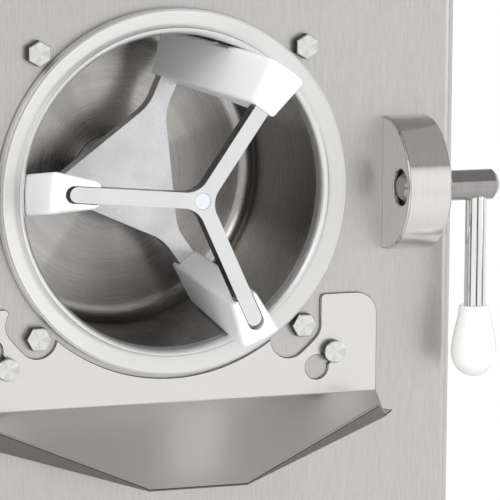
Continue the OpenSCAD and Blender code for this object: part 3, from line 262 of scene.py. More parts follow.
class Surface(Graph):
    """A material with one Principled shader."""

    def __init__(self, name: str, colour: Colour, roughness: float, metallic: float) -> None:
        """Starts the material.

        Args:
            name: The material's name.
            colour: Its base colour.
            roughness: Its roughness.
            metallic: 1 for bare metal, 0 for anything else.
        """
        self.material = bpy.data.materials.new(name)
        self.material.use_nodes = True
        self.material.diffuse_color = (*colour, 1.0)
        super().__init__(self.material.node_tree)
        self.shader = self.tree.nodes["Principled BSDF"]
        self.colour = colour
        self.roughness = roughness
        self.put("Base Color", colour)
        self.put("Roughness", roughness)
        self.put("Metallic", metallic)

    def put(self, label: str, value: object) -> None:
        """Feeds one of the shader's inputs, or sets it."""
        self.feed(self.shader.inputs[label], value)

    def toned(self, share: NodeSocket, tone: float, colour: Colour | None = None) -> NodeSocket:
        """Makes a colour, or the surface's own, darker to lighter by a pattern and returns its socket."""
        colour = colour or self.colour
        return self.mix(share, shade(colour, 1 - tone), shade(colour, 1 + tone))

    def rough(self, value: NodeSocket, span: Pair, less: float, more: float) -> NodeSocket:
        """Maps a pattern to a roughness from less to more than the surface's own, and returns its socket."""
        return self.remap(value, span, self.roughness - less, self.roughness + more)

    def smudges(self, place: NodeSocket, size: float) -> NodeSocket:
        """Returns the socket of a mask of handling marks."""
        return self.group(handling_group(), Place=place, Size=size)["Smudge"]

    def bump(self, height: NodeSocket, strength: float, depth: float) -> None:
        """Feeds the shader's normal from a height from 0 to 1 that is this deep."""
        made = self.node("ShaderNodeBump", {"Height": height, "Strength": strength, "Distance": depth})
        self.put("Normal", made.outputs[0])


@dataclass(frozen=True)
class Finish:
    """A look, which makes one material."""

    name: str
    colour: Colour
    roughness: float = 0.38
    metallic = 1.0

    def paint(self, surface: Surface, place: NodeSocket) -> None:
        """Adds the look's own pattern to a surface.

        Args:
            surface: The surface.
            place: The socket of a point's place on it.
        """
        raise NotImplementedError

    def make(self) -> Material:
        """Builds the material and returns it."""
        surface = Surface(self.name, self.colour, self.roughness, self.metallic)
        self.paint(surface, surface.place())
        return surface.material


@dataclass(frozen=True)
class BrushedSteel(Finish):
    """Sheet steel with a straight brushed grain."""

    roughness: float = 0.33
    lay: Lay = Lay.UPRIGHT
    tone: float = 0.16
    depth: float = 0.00001
    cloud: float = 0.06
    cloud_shade: float = 0.72
    rough_spread: float = 0.05

    def paint(self, surface: Surface, place: NodeSocket) -> None:
        """Adds the grain, faint clouds and smudges."""
        out = surface.group(brushed_group(), Place=place, Fineness=self.lay.value)
        clouds = surface.remap(out["Cloud"], NOISE_MIDDLE, 0.0, self.cloud)
        streaked = surface.toned(out["Grain"], self.tone)
        surface.put("Base Color", surface.mix(clouds, streaked, shade(self.colour, self.cloud_shade)))
        rough = surface.rough(out["Grain"], GRAIN_SPAN, self.rough_spread, self.rough_spread)
        smudges = surface.smudges(place, 14.0)
        surface.put("Roughness", surface.math("MULTIPLY_ADD", smudges, self.rough_spread, rough))
        surface.bump(out["Grain"], 0.5, self.depth)


@dataclass(frozen=True)
class TurnedSteel(Finish):
    """Steel that was turned or ground about an axis."""

    roughness: float = 0.25
    centre: Point = ORIGIN
    across: Point = (1.0, 0.0, 1.0)
    tone: float = 0.12
    bands: float = 0.10
    band_shade: float = 0.4
    # Painted reflection: how much the sector-shaped patches round the axis darken the colour.
    reflection_sectors: float = 0.0
    reflection_shade: float = 0.25
    sector_scale: float = 2.2
    reflection_span: Pair = (0.42, 0.62)
    fineness: float = 2200.0
    depth: float = 0.000012
    anisotropy: float = 0.5
    grain_turn: float = 0.25
    # Painted shade: a darker colour for a hollow's side wall, which also takes its own painted reflection
    # patches.
    painted_shade_wall_colour: Colour | None = None
    wall_end: float = 0.0
    wall_fade: float = 0.010
    wall_reflection_sectors: float = 0.6
    wall_reflection_shade: float = 0.3
    wall_reflection_span: Pair = (0.44, 0.58)

    def wall(self, surface: Surface, out: Sockets, side: NodeSocket) -> NodeSocket:
        """Paints the side wall of a turned hollow, up to the corner before its far end, a darker colour of
        its own, as painted shade inside the hollow.

        Args:
            surface: The surface.
            out: The turned grain's outputs.
            side: The colour for the rest, which the far end wall keeps.

        Returns:
            The socket of both walls' colour.
        """
        # Painted shade: the side wall, up to the corner before the far end, takes the darker colour, with
        # stronger painted reflection patches on it.
        on_wall = surface.remap(out["Along"], (self.wall_end - self.wall_fade, self.wall_end), 1.0, 0.0)
        lines = surface.toned(out["Grain"], self.tone, self.painted_shade_wall_colour)
        reflection_sectors = surface.remap(out["Reflection_sector"], self.wall_reflection_span, 0.0, self.wall_reflection_sectors)
        swept = surface.mix(reflection_sectors, lines, shade(self.painted_shade_wall_colour, self.wall_reflection_shade))
        return surface.mix(on_wall, side, swept)

    def paint(self, surface: Surface, place: NodeSocket) -> None:
        """Adds the round grain with its bands, darker sector-shaped patches of painted reflection, and the
        highlight that the grain draws out.
        """
        out = surface.group(turned_group(), Place=place, Centre=self.centre, Across=self.across,
                            Fineness=self.fineness, Sectors=self.sector_scale)
        bands = surface.remap(out["Bands"], NOISE_MIDDLE, 0.0, self.bands)
        lines = surface.toned(out["Grain"], self.tone)
        banded = surface.mix(bands, lines, shade(self.colour, self.band_shade))
        # Painted reflection: darker sector-shaped patches round the axis stand in for the bow-tie highlights
        # of turned steel.
        reflection_sectors = surface.remap(out["Reflection_sector"], self.reflection_span, 0.0, self.reflection_sectors)
        swept = surface.mix(reflection_sectors, banded, shade(self.colour, self.reflection_shade))
        surface.put("Base Color", self.wall(surface, out, swept) if self.painted_shade_wall_colour else swept)
        surface.put("Roughness", surface.rough(out["Grain"], GRAIN_SPAN, 0.04, 0.06))
        surface.put("Anisotropic", self.anisotropy)
        surface.put("Anisotropic Rotation", self.grain_turn)
        axis = "XYZ"[self.across.index(0.0)]
        tangent = surface.node("ShaderNodeTangent", direction_type="RADIAL", axis=axis)
        surface.put("Tangent", tangent.outputs[0])
        surface.bump(out["Grain"], 0.5, self.depth)


@dataclass(frozen=True)
class SatinSteel(Finish):
    """Blasted or milled steel with a fine even grain."""

    grain: float = 900.0
    tone: float = 0.08
    smudged: float = 0.12
    smudge_shade: float = 0.8

    def paint(self, surface: Surface, place: NodeSocket) -> None:
        """Adds the grain and smudges."""
        speck = surface.noise(place, self.grain, 3.0, 0.7)
        smudges = surface.smudges(place, 30.0)
        share = surface.math("MULTIPLY", smudges, self.smudged)
        grained = surface.toned(speck, self.tone)
        surface.put("Base Color", surface.mix(share, grained, shade(self.colour, self.smudge_shade)))
        surface.put("Roughness", surface.rough(smudges, FULL, 0.04, 0.06))
        surface.bump(speck, 0.35, 0.00002)


@dataclass(frozen=True)
class Moulded(Finish):
    """Moulded plastic or rubber."""

    roughness: float = 0.5
    coat: float = 0.0
    coat_roughness: float = 0.08
    painted_shade_far_colour: Colour | None = None
    fade: Pair = FULL
    speckle: float = 1400.0
    depth: float = 0.00003
    smudged: float = 0.5
    smudge_shade: float = 0.95
    metallic = 0.0

    def paint(self, surface: Surface, place: NodeSocket) -> None:
        """Adds the mould's texture, smudges, a coat, and a painted shade that changes the colour along Y."""
        smudges = surface.smudges(place, 22.0)
        share = surface.math("MULTIPLY", smudges, self.smudged)
        base = surface.mix(share, self.colour, shade(self.colour, self.smudge_shade))
        # Painted shade: the colour turns bluish grey further back along Y, where the blades reach into the
        # barrel's shade.
        if self.painted_shade_far_colour:
            away = surface.remap(surface.parts(place)[1], self.fade, 0.0, 1.0)
            base = surface.mix(away, base, self.painted_shade_far_colour)
        surface.put("Base Color", base)
        surface.put("Roughness", surface.rough(smudges, FULL, 0.04, 0.07))
        surface.put("Coat Weight", self.coat)
        surface.put("Coat Roughness", self.coat_roughness)
        surface.bump(surface.noise(place, self.speckle, 2.0), 0.3, self.depth)


@dataclass(frozen=True)
class Enamel(Finish):
    """Sprayed paint with a slight orange peel."""

    roughness: float = 0.3
    coat: float = 0.4
    dusty: float = 0.25
    dust: Colour = (0.3, 0.29, 0.27)
    peel: float = 350.0
    metallic = 0.0

    def paint(self, surface: Surface, place: NodeSocket) -> None:
        """Adds dust, a coat and the peel."""
        share = surface.math("MULTIPLY", surface.smudges(place, 18.0), self.dusty)
        surface.put("Base Color", surface.mix(share, self.colour, self.dust))
        surface.put("Coat Weight", self.coat)
        surface.bump(surface.noise(place, self.peel, 1.0), 0.3, 0.0001)


@dataclass(frozen=True)
class Foam(Finish):
    """Rigid insulating foam with open pores."""

    roughness: float = 0.95
    cells: float = 420.0
    pore_span: Pair = (0.1, 0.55)
    pore_painted_shade: float = 0.62
    metallic = 0.0

    def paint(self, surface: Surface, place: NodeSocket) -> None:
        """Adds the pores, painted darker in their hollows as shade."""
        feeds = {"Vector": place, "Scale": self.cells}
        distance = surface.node("ShaderNodeTexVoronoi", feeds).outputs["Distance"]
        pores = surface.remap(distance, self.pore_span, 1.0, 0.0)
        # Painted shade: the pores' hollows are painted darker.
        surface.put("Base Color", surface.mix(pores, self.colour, shade(self.colour, self.pore_painted_shade)))
        surface.bump(distance, 0.7, 0.0006)


@dataclass(frozen=True)
class Fins(Finish):
    """A stack of thin upright aluminium fins."""

    roughness: float = 0.42
    pitch: float = 0.0022
    gap_painted_shade: float = 0.12

    def paint(self, surface: Surface, place: NodeSocket) -> None:
        """Adds the dark gaps between the fins, painted shade where the deep gaps lie."""
        wave = surface.math("PINGPONG", surface.parts(place)[0], self.pitch / 2)
        gap = surface.remap(wave, (0.0, self.pitch / 3), 1.0, 0.0)
        # Painted shade: the gaps between the fins are painted nearly black.
        surface.put("Base Color", surface.mix(gap, self.colour, shade(self.colour, self.gap_painted_shade)))
        surface.bump(gap, 0.6, -0.0008)


BARREL_AXIS: Point = (0.0, 0.0, 0.430)
LEVER_AXIS: Point = (0.0, -0.27305, 0.430)
BACK_WALL = -0.12885

FINISHES: dict[str, Finish] = {
    "panels": BrushedSteel("brushed panel", (0.60, 0.583, 0.56), tone=0.30),
    "inner_sheet": SatinSteel("mill sheet", (0.42, 0.42, 0.41), roughness=0.42, grain=300.0),
    "turned_ring": TurnedSteel("turned ring", (0.92, 0.915, 0.905), roughness=0.42, centre=BARREL_AXIS,
                               tone=0.05, bands=0.05, anisotropy=0.2),
    # Painted shade: the barrel's side wall is painted darker than its back wall.
    "barrel_steel": TurnedSteel("turned barrel", (0.60, 0.58, 0.56), roughness=0.26, centre=BARREL_AXIS,
                                tone=0.16, bands=0.12, reflection_sectors=0.30, sector_scale=1.6, anisotropy=0.6,
                                painted_shade_wall_colour=(0.36, 0.345, 0.325), wall_end=BACK_WALL),
    # Painted reflection: sector-shaped patches darken the bolt and stud heads.
    "fasteners": TurnedSteel("turned fastener", (0.80, 0.80, 0.79), roughness=0.30, tone=0.08,
                             bands=0.0, reflection_sectors=0.18, sector_scale=1.6, fineness=4000.0, anisotropy=0.7),
    "dasher_steel": SatinSteel("satin dasher", (0.84, 0.84, 0.845), roughness=0.36, grain=800.0, tone=0.06),
    "plate_steel": SatinSteel("satin plate", (0.75, 0.75, 0.76), roughness=0.30, grain=500.0, tone=0.12),
    # The sheet's dull back, painted dark as shade on the faces that look down.
    "sheet_back_and_shade": SatinSteel("dull sheet and shade", (0.24, 0.225, 0.205), roughness=0.34, grain=600.0, tone=0.15),
    # Painted shade: the blades turn bluish grey towards their rear ends inside the barrel.
    "blade_plastic": Moulded("white scraper plastic", (0.96, 0.965, 0.975), roughness=0.42,
                             painted_shade_far_colour=(0.94, 0.95, 0.98), fade=(-0.25, -0.15)),
    "plug_plastic": Moulded("bluish plug", (0.72, 0.75, 0.82), roughness=0.4),
    "chute_steel": BrushedSteel("brushed chute", (0.785, 0.765, 0.735), roughness=0.30, lay=Lay.LEVEL,
                                tone=0.03, depth=0.000003, cloud=0.0, rough_spread=0.02),
    # Partly the dark cut edge of a sheet, partly painted shadow: near black for the chute's rounded edges and
    # for the flanks of bolt and stud heads.
    "cut_edge_and_shadow": SatinSteel("cut edge and shadow", (0.07, 0.065, 0.06), roughness=0.45, tone=0.2),
    # Partly the darker flank of cut steel, partly painted shade: it darkens the flanks of spider and plate
    # and lines the blocks' rounded edges.
    "cut_flank_and_shade": SatinSteel("cut flank and shade", (0.26, 0.25, 0.235), roughness=0.25, grain=700.0, tone=0.15),
    "block_steel": BrushedSteel("ground block", (0.76, 0.745, 0.72), roughness=0.15, lay=Lay.AROUND,
                                tone=0.14, cloud=0.0),
    "dark_steel": TurnedSteel("gunmetal shaft", (0.40, 0.385, 0.38), roughness=0.16, centre=LEVER_AXIS,
                              across=(0.0, 1.0, 1.0), tone=0.15, anisotropy=0.2),
    "rod_chrome": SatinSteel("polished rod", (0.84, 0.84, 0.84), roughness=0.07, grain=400.0, tone=0.02),
    "knob_cream": Moulded("cream knob", (0.95, 0.945, 0.925), roughness=0.22, coat=0.6, depth=0.000005),
    "black_plastic": Moulded("black plastic", (0.022, 0.022, 0.024), roughness=0.42),
    "timer_case": Moulded("timer case", (0.55, 0.50, 0.42)),
    "black_rubber": Moulded("black rubber", (0.028, 0.028, 0.028), roughness=0.75, speckle=700.0,
                            depth=0.00008),
    "bearing_steel": SatinSteel("ground bearing", (0.55, 0.55, 0.56), roughness=0.2),
    "cast_housing": SatinSteel("cast housing", (0.25, 0.26, 0.27), roughness=0.55, grain=260.0, tone=0.25),
    "motor_paint": Enamel("motor enamel", (0.09, 0.13, 0.17)),
    "black_paint": Enamel("compressor enamel", (0.02, 0.02, 0.022)),
    "fin_aluminium": Fins("aluminium fins", (0.55, 0.56, 0.57)),
    "copper": SatinSteel("copper tube", (0.72, 0.38, 0.24), roughness=0.3, grain=300.0, tone=0.15),
    "foam": Foam("rigid foam", (0.74, 0.66, 0.44)),
}


class Wardrobe:
    """Makes each finish once and knows which one a CAD node takes."""

    def __init__(self, record: dict) -> None:
        """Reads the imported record's slots."""
        self.slots = {part["node"]: part["material_slot"] for part in record["subparts"]}
        self.made: dict[str, Material] = {}

    def material(self, slot: str) -> Material:
        """Returns the material of one of the finishes."""
        if slot not in self.made:
            self.made[slot] = FINISHES[slot].make()
        return self.made[slot]

    def dress(self, piece: Object, slot: str) -> None:
        """Gives a piece one material."""
        piece.data.materials.clear()
        piece.data.materials.append(self.material(slot))


WARDROBE = Wardrobe(frame["record"])


# ---- mesh making


MERGE_DISTANCE = 2e-6
MICRON = 1e-6
FLAT_ANGLE = math.radians(0.4)
SHARP_ANGLE = math.radians(32.0)
NORMAL_WEIGHT = 60
FLANK_LEAN = 0.3


def to_object(name: str, mesh: BMesh) -> Object:
    """Turns a bmesh into a linked object at the origin, with its faces shaded smooth.

    Args:
        name: The object's name.
        mesh: The bmesh, which is freed.

    Returns:
        The object.
    """
    bmesh.ops.recalc_face_normals(mesh, faces=mesh.faces)
    data = bpy.data.meshes.new(name)
    mesh.to_mesh(data)
    mesh.free()
    data.polygons.foreach_set("use_smooth", [True] * len(data.polygons))
    return link(name, data)


def link(name: str, data: bpy.types.ID) -> Object:
    """Makes an object of some data and links it to the scene."""
    made = bpy.data.objects.new(name, data)
    bpy.context.scene.collection.objects.link(made)
    return made


def weigh_normals(piece: Object) -> Object:
    """Keeps a piece's flat faces flat under smooth shading and returns it."""
    flat = piece.modifiers.new("flat faces", "WEIGHTED_NORMAL")
    flat.weight = NORMAL_WEIGHT
    return piece


def soften(piece: Object, width: float, segments: int) -> Object:
    """Rounds a piece's sharp edges and keeps its flat faces flat.

    Args:
        piece: The piece.
        width: How far an edge is cut back.
        segments: How many strips the rounding has.

    Returns:
        The piece.
    """
    edge = piece.modifiers.new("soft edges", "BEVEL")
    edge.width = width
    edge.segments = segments
    edge.limit_method = "ANGLE"
    edge.angle_limit = SHARP_ANGLE
    edge.miter_outer = "MITER_ARC"
    weigh_normals(piece).modifiers["flat faces"].keep_sharp = True
    return piece


def cut_across(mesh: BMesh, place: float) -> list[BMEdge]:
    """Divides a mesh's faces at a place along Y.

    Args:
        mesh: The mesh.
        place: The place.

    Returns:
        The edges of the cut.
    """
    made = bmesh.ops.bisect_plane(mesh, geom=[*mesh.verts, *mesh.edges, *mesh.faces], dist=MICRON,
                                  plane_co=(0.0, place, 0.0), plane_no=ALONG_Y)
    return [part for part in made["geom_cut"] if isinstance(part, BMEdge)]


def clean_mesh(node: str, cuts: Iterable[float] = ()) -> BMesh:
    """Copies a CAD node's mesh with its vertices merged and each flat face in one piece.

    Args:
        node: The CAD node.
        cuts: Places along Y where flat faces stay divided, so that none has a hole in it.

    Returns:
        The copied mesh.
    """
    mesh = bmesh.new()
    mesh.from_mesh(frame["nodes"][node].data)
    bmesh.ops.remove_doubles(mesh, verts=mesh.verts, dist=MERGE_DISTANCE)
    for place in cuts:
        for edge in cut_across(mesh, place):
            edge.seam = True
    bmesh.ops.dissolve_limit(mesh, angle_limit=FLAT_ANGLE, verts=mesh.verts, edges=mesh.edges,
                             delimit={"SEAM"})
    return mesh


def line_edges(piece: Object, slot: str) -> Object:
    """Gives the rounding along a dressed piece's edges one more material and returns the piece."""
    piece.modifiers["soft edges"].material = len(piece.data.materials)
    piece.data.materials.append(WARDROBE.material(slot))
    return piece


def paint_faces(piece: Object, slot: str, picked: Callable[[Vector], bool]) -> Object:
    """Gives some of a piece's faces one more material.

    Args:
        piece: The piece, already dressed.
        slot: The material's slot.
        picked: Says from a face's normal whether the face takes it.

    Returns:
        The piece.
    """
    index = len(piece.data.materials)
    piece.data.materials.append(WARDROBE.material(slot))
    for face in piece.data.polygons:
        if picked(face.normal):
            face.material_index = index
    return piece


def show_flanks(piece: Object, slot: str) -> Object:
    """Gives the faces that stand along Y, which a cut or a milling left, one more material."""
    return paint_faces(piece, slot, lambda normal: abs(normal.y) < FLANK_LEAN)


def joined_to(start: BMVert) -> set[BMVert]:
    """Follows a mesh's edges from one of its vertices.

    Args:
        start: The vertex.

    Returns:
        Every vertex that edges join to it, and itself.
    """
    group, reached = set(), [start]
    while reached:
        vert = reached.pop()
        if vert not in group:
            group.add(vert)
            reached.extend(edge.other_vert(vert) for edge in vert.link_edges)
    return group


def loose_copies(node: str, name: str, width: float, segments: int = 3,
                 shape: Shaper | None = None) -> list[Object]:
    """Copies each separate solid of a CAD node as a piece whose origin lies on its own axis.

    Args:
        node: The CAD node, whose solids stand along Y.
        name: What the pieces' names start with.
        width: How far an edge is cut back.
        segments: How many strips the rounding has.
        shape: Changes each copied mesh before its edges are rounded.

    Returns:
        The pieces.
    """
    whole = clean_mesh(node)
    whole.verts.index_update()
    left = set(whole.verts)
    pieces = []
    while left:
        group = joined_to(min(left, key=lambda vert: vert.index))
        left -= group
        keep = {vert.index for vert in group}
        one = whole.copy()
        one.verts.ensure_lookup_table()
        bmesh.ops.delete(one, geom=[vert for vert in one.verts if vert.index not in keep], context="VERTS")
        low, high = (Vector([pick(vert.co[i] for vert in one.verts) for i in range(3)])
                     for pick in (min, max))
        centre = (low + high) / 2
        bmesh.ops.translate(one, verts=one.verts, vec=-centre)
        if shape:
            shape(one)
        piece = soften(to_object(f"{name}_{len(pieces) + 1}", one), width, segments)
        piece.location = centre
        pieces.append(piece)
    whole.free()
    return pieces


def quarter(steps: int) -> list[float]:
    """Returns the angles of a quarter turn in equal steps, with both its ends."""
    return [math.pi / 2 * k / steps for k in range(steps + 1)]


@dataclass(frozen=True)
class Axis:
    """A line that something is turned about."""

    origin: Point
    along: Point
    out: Point = (1.0, 0.0, 0.0)

    def point(self, radius: float, height: float, turn: float) -> Vector:
        """Works out a place round the axis.

        Args:
            radius: How far it is from the axis.
            height: How far it is along the axis.
            turn: Its turn about the axis, in radians.

        Returns:
            The place.
        """
        along, out = Vector(self.along), Vector(self.out)
        side = along.cross(out)
        return Vector(self.origin) + along * height + (out * math.cos(turn) + side * math.sin(turn)) * radius


def lathe(name: str, profile: Profile, axis: Axis, steps: int) -> Object:
    """Turns a closed outline about an axis.

    Args:
        name: The piece's name.
        profile: Points of radius and height; a radius under a micron lies on the axis.
        axis: The axis.
        steps: How many chords the circle has.

    Returns:
        The piece, with weighted normals.
    """
    mesh = bmesh.new()
    turns = [2 * math.pi * k / steps for k in range(steps)]
    rings = []
    for radius, height in profile:
        if radius < MICRON:
            rings.append([mesh.verts.new(axis.point(0.0, height, 0.0))] * steps)
        else:
            rings.append([mesh.verts.new(axis.point(radius, height, turn)) for turn in turns])
    for ring, other in zip(rings, [*rings[1:], rings[0]]):
        if ring[0] is ring[1] and other[0] is other[1]:
            continue
        for k in range(steps):
            after = (k + 1) % steps
            mesh.faces.new(list(dict.fromkeys((ring[k], ring[after], other[after], other[k]))))
    return weigh_normals(to_object(name, mesh))


class SubAssembly:
    """A group of pieces that ride on one CAD body."""

    body = "cabinet"

    def add(self, piece: Object, *nodes: str) -> Object:
        """Dresses a piece, lets it ride, and hides the CAD nodes that it stands for.

        Args:
            piece: The piece.
            *nodes: The CAD nodes; the first one names the finish.

        Returns:
            The piece.
        """
        slot = WARDROBE.slots[nodes[0]]
        WARDROBE.dress(piece, slot)
        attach(piece, self.body)
        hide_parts(*nodes)
        log.info("%s rides on %s for %s", piece.name, self.body, ", ".join(nodes))
        return piece

    def copy(self, node: str, name: str, width: float, segments: int = 2, shape: Shaper | None = None,
             cuts: Iterable[float] = ()) -> Object:
        """Adds a copy of a CAD node with its edges rounded.

        Args:
            node: The CAD node.
            name: The piece's name.
            width: How far an edge is cut back.
            segments: How many strips the rounding has.
            shape: Changes the copied mesh before its edges are rounded.
            cuts: Places along Y where flat faces stay divided.

        Returns:
            The piece.
        """
        mesh = clean_mesh(node, cuts)
        if shape:
            shape(mesh)
        return self.add(soften(to_object(name, mesh), width, segments), node)


# ---- sub-assemblies


@dataclass
class Cabinet(SubAssembly):
    """The steel cabinet: bent panels, lid, pan, feet and screws."""

    sheet_edge: float = 0.0005
    louvre_places: Pair = (0.03325, 0.15325)
    foot_edge: float = 0.0015
    screw_edge: float = 0.0003

    def build(self) -> None:
        """Builds and dresses the cabinet, with the side panels divided between their louvres' ends."""
        for node in ("front_panel", "rear_panel", "top_panel", "left_side_panel", "right_side_panel"):
            cuts = self.louvre_places if "side" in node else ()
            self.copy(node, f"{node}_skin", self.sheet_edge, cuts=cuts)
        self.copy("base_pan", "pan_sheet", self.sheet_edge)
        self.copy("feet", "rubber_feet", self.foot_edge, 3)
        self.copy("panel_screws", "screw_heads", self.screw_edge)


@dataclass
class Barrel(SubAssembly):
    """The open freezing barrel, its front ring and bolts; heights run back from the panel's face."""

    axis: Axis = Axis((0.0, -0.24475, 0.430), ALONG_Y)
    bore: float = 0.0995
    wall: float = 0.003
    stand: float = 0.0091
    rim: float = 0.116
    spigot: float = 0.112
    mouth: float = 0.0045
    groove: float = 0.0008
    groove_in: float = 0.0007
    back: float = 0.1159
    back_wall: float = 0.006
    corner: float = 0.011
    seal: float = 0.016
    sheet: float = 0.002
    chords: int = 256
    bolt_edge: float = 0.0003
    bolt_chamfer: float = 0.0007
    bolt_rim: float = 0.9
    bolt_margin: float = 0.0001

    def ring(self) -> None:
        """Turns the front ring, whose mouth rounds into the bore."""
        wide = self.bore + self.mouth
        curve = [(wide - self.mouth * math.cos(turn), self.mouth * (1 - math.sin(turn)) - self.stand)
                 for turn in quarter(10)]
        lip, face, foot = self.rim - self.groove_in, -self.stand, self.rim - 2 * self.groove
        profile = [
            *curve[::-1],
            (lip - self.groove, face),
            (lip - self.groove / 2, face + 2 * self.groove),
            (lip, face),
            (self.rim, face + self.groove_in),
            (self.rim, -2 * self.groove),
            (foot, -1.6 * self.groove),
            (foot, 0.0),
            (self.spigot, 0.0),
            (self.spigot, self.sheet),
            (self.bore, self.sheet),
        ]
        self.add(lathe("ring_turned", profile[::-1], self.axis, self.chords), "barrel_ring")

    def cylinder(self) -> None:
        """Turns the barrel's side and back walls, with the round corner between them."""
        hub, start = self.bore - self.corner, self.back - self.corner
        curve = [(hub + self.corner * math.cos(turn), start + self.corner * math.sin(turn))
                 for turn in quarter(14)]
        outer, end = self.bore + self.wall, self.back + self.back_wall
        profile = [(self.bore, self.sheet), *curve, (self.seal, self.back), (self.seal, end), (outer, end),
                   (outer, self.sheet)]
        self.add(lathe("barrel_turned", profile, self.axis, self.chords), "barrel")

    def new_head(self, mesh: BMesh) -> None:
        """Rebuilds a bolt's head as a hexagon with a small chamfer and a face turned to its centre.

        Args:
            mesh: The bolt, centred on its axis.
        """
        def reach(vert: BMVert) -> float:
            """Returns how far a vertex is from the axis."""
            return math.hypot(vert.co.x, vert.co.z)

        front = min(vert.co.y for vert in mesh.verts)
        across = max(vert.co.x for vert in mesh.verts)
        seat = max(vert.co.y for vert in mesh.verts if reach(vert) > self.bolt_rim * across)
        head = [vert for vert in mesh.verts if vert.co.y < seat - self.bolt_margin]
        bmesh.ops.delete(mesh, geom=head, context="VERTS")
        corners = {vert for edge in mesh.edges if edge.is_boundary for vert in edge.verts}
        inner = sorted(corners, key=lambda vert: math.atan2(vert.co.z, vert.co.x))
        widest = max(reach(vert) for vert in inner)
        sides = [(k, (k + 1) % len(inner)) for k in range(len(inner))]
        for height, inset in ((front + self.bolt_chamfer, 0.0), (front, self.bolt_chamfer)):
            share = 1 - inset / widest
            ring = [mesh.verts.new((vert.co.x * share, height, vert.co.z * share)) for vert in inner]
            for k, after in sides:
                mesh.faces.new((inner[k], inner[after], ring[after], ring[k]))
            inner = ring
        middle = mesh.verts.new((0.0, front, 0.0))
        for k, after in sides:
            mesh.faces.new((inner[k], inner[after], middle))

    def build(self) -> None:
        """Builds and dresses the barrel, and the bolts with heads turned about their own axes."""
        self.ring()
        self.cylinder()
        for bolt in loose_copies("barrel_bolts", "bolt", self.bolt_edge, 2, self.new_head):
            # The hex flanks take a near-black finish: painted shade for the dark outlines round the heads.
            show_flanks(self.add(bolt, "barrel_bolts"), "cut_edge_and_shadow")


@dataclass
class Dasher(SubAssembly):
    """The lift-out dasher: front spider, rear plate and three twisted scraper blades."""

    body = "dasher"
    steel_edge: float = 0.0007
    plug_edge: float = 0.0004
    blade_edge: float = 0.0012
    axis_height: float = 0.430
    arm_turn: float = 55.0
    arm_step: float = 120.0
    nose: float = 0.0065
    nose_inset: float = 0.0036
    nose_cuts: int = 5
    slot_half: float = 0.0060
    end_depth: float = 0.0060
    blend: float = 0.0035

    def share(self, depth: float) -> float:
        """Returns how far a place lies into the blend, from 0 to 1."""
        return min(1.0, max(0.0, depth / self.blend))

    def round_nose(self, mesh: BMesh, arm: int) -> None:
        """Rounds a blade's front end outside its slot.

        Args:
            mesh: The blade.
            arm: Which arm of the spider it sits on.
        """
        front = min(vert.co.y for vert in mesh.verts)
        for k in range(1, self.nose_cuts + 1):
            cut_across(mesh, front + self.nose * (k / self.nose_cuts) ** 2)
        turn = math.radians(self.arm_turn + self.arm_step * arm)
        out, side = Vector((math.cos(turn), math.sin(turn))), Vector((-math.sin(turn), math.cos(turn)))
        tip = max(math.hypot(vert.co.x, vert.co.z - self.axis_height) for vert in mesh.verts)
        for vert in mesh.verts:
            depth = (vert.co.y - front) / self.nose
            if depth >= 1.0:
                continue
            inset = self.nose_inset * (1 - math.sqrt(1 - (1 - depth) ** 2))
            place = Vector((vert.co.x, vert.co.z - self.axis_height))
            reach, aside = place.dot(out), place.dot(side)
            reach -= inset * self.share(reach - tip + self.end_depth)
            aside -= math.copysign(inset * self.share(abs(aside) - self.slot_half), aside)
            moved = out * reach + side * aside
            vert.co.x, vert.co.z = moved.x, moved.y + self.axis_height

    def build(self) -> None:
        """Builds and dresses the dasher."""
        for node, name, finish in (("dasher_spider", "spider_arms", "dasher_steel"),
                                   ("dasher_plate", "plate_and_boss", "plate_steel")):
            # The flanks that stand along Y take the darker finish: cut flank and painted shade.
            piece = show_flanks(self.copy(node, name, self.steel_edge, 3), "cut_flank_and_shade")
            piece.data.materials[0] = WARDROBE.material(finish)
        self.copy("spider_plug", "hub_plug", self.plug_edge)
        for arm, side in enumerate(("upper", "left", "lower")):
            self.copy(f"blade_{side}", f"scraper_{side}", self.blade_edge, 3,
                      shape=lambda mesh, arm=arm: self.round_nose(mesh, arm))


@dataclass
class ChuteStuds(SubAssembly):
    """The headed studs that the chute hangs on."""

    edge: float = 0.0004

    def build(self) -> None:
        """Builds and dresses the studs."""
        for stud in loose_copies("chute_studs", "stud", self.edge):
            # The stud heads' flanks take a near-black finish: painted shade for their dark outlines.
            show_flanks(self.add(stud, "chute_studs"), "cut_edge_and_shadow")


@dataclass
class Chute(SubAssembly):
    """The folded chute."""

    body = "chute_part"
    edge: float = 0.0006
    under: float = -0.3

    def build(self) -> None:
        """Builds and dresses the folded sheet, with dark lines along its edges (cut edge and painted shadow)
        and a darker, duller underside (painted shade).
        """
        # The rounded edges take a near-black finish: the sheet's cut edge plus a painted shadow line along
        # its outline.
        piece = line_edges(self.copy("chute", "chute_sheet", self.edge), "cut_edge_and_shadow")
        # Painted shade: faces that look down take a much darker finish on the sheet's dull back.
        paint_faces(piece, "sheet_back_and_shade", lambda normal: normal.z < self.under)


@dataclass
class GateBlocks(SubAssembly):
    """The half-round blocks that the gate hangs and closes on."""

    edge: float = 0.0006
    bush_edge: float = 0.0003

    def build(self) -> None:
        """Builds and dresses the blocks, with their rounded edges darkened as painted shade, and the lever's
        bush.
        """
        for node in ("hinge_block", "lever_block"):
            # The rounded edges take the darker finish: painted shade for the dark outlines round the blocks.
            line_edges(self.copy(node, f"{node}_ground", self.edge), "cut_flank_and_shade")
        self.copy("lever_bush", "bush_sleeve", self.bush_edge)


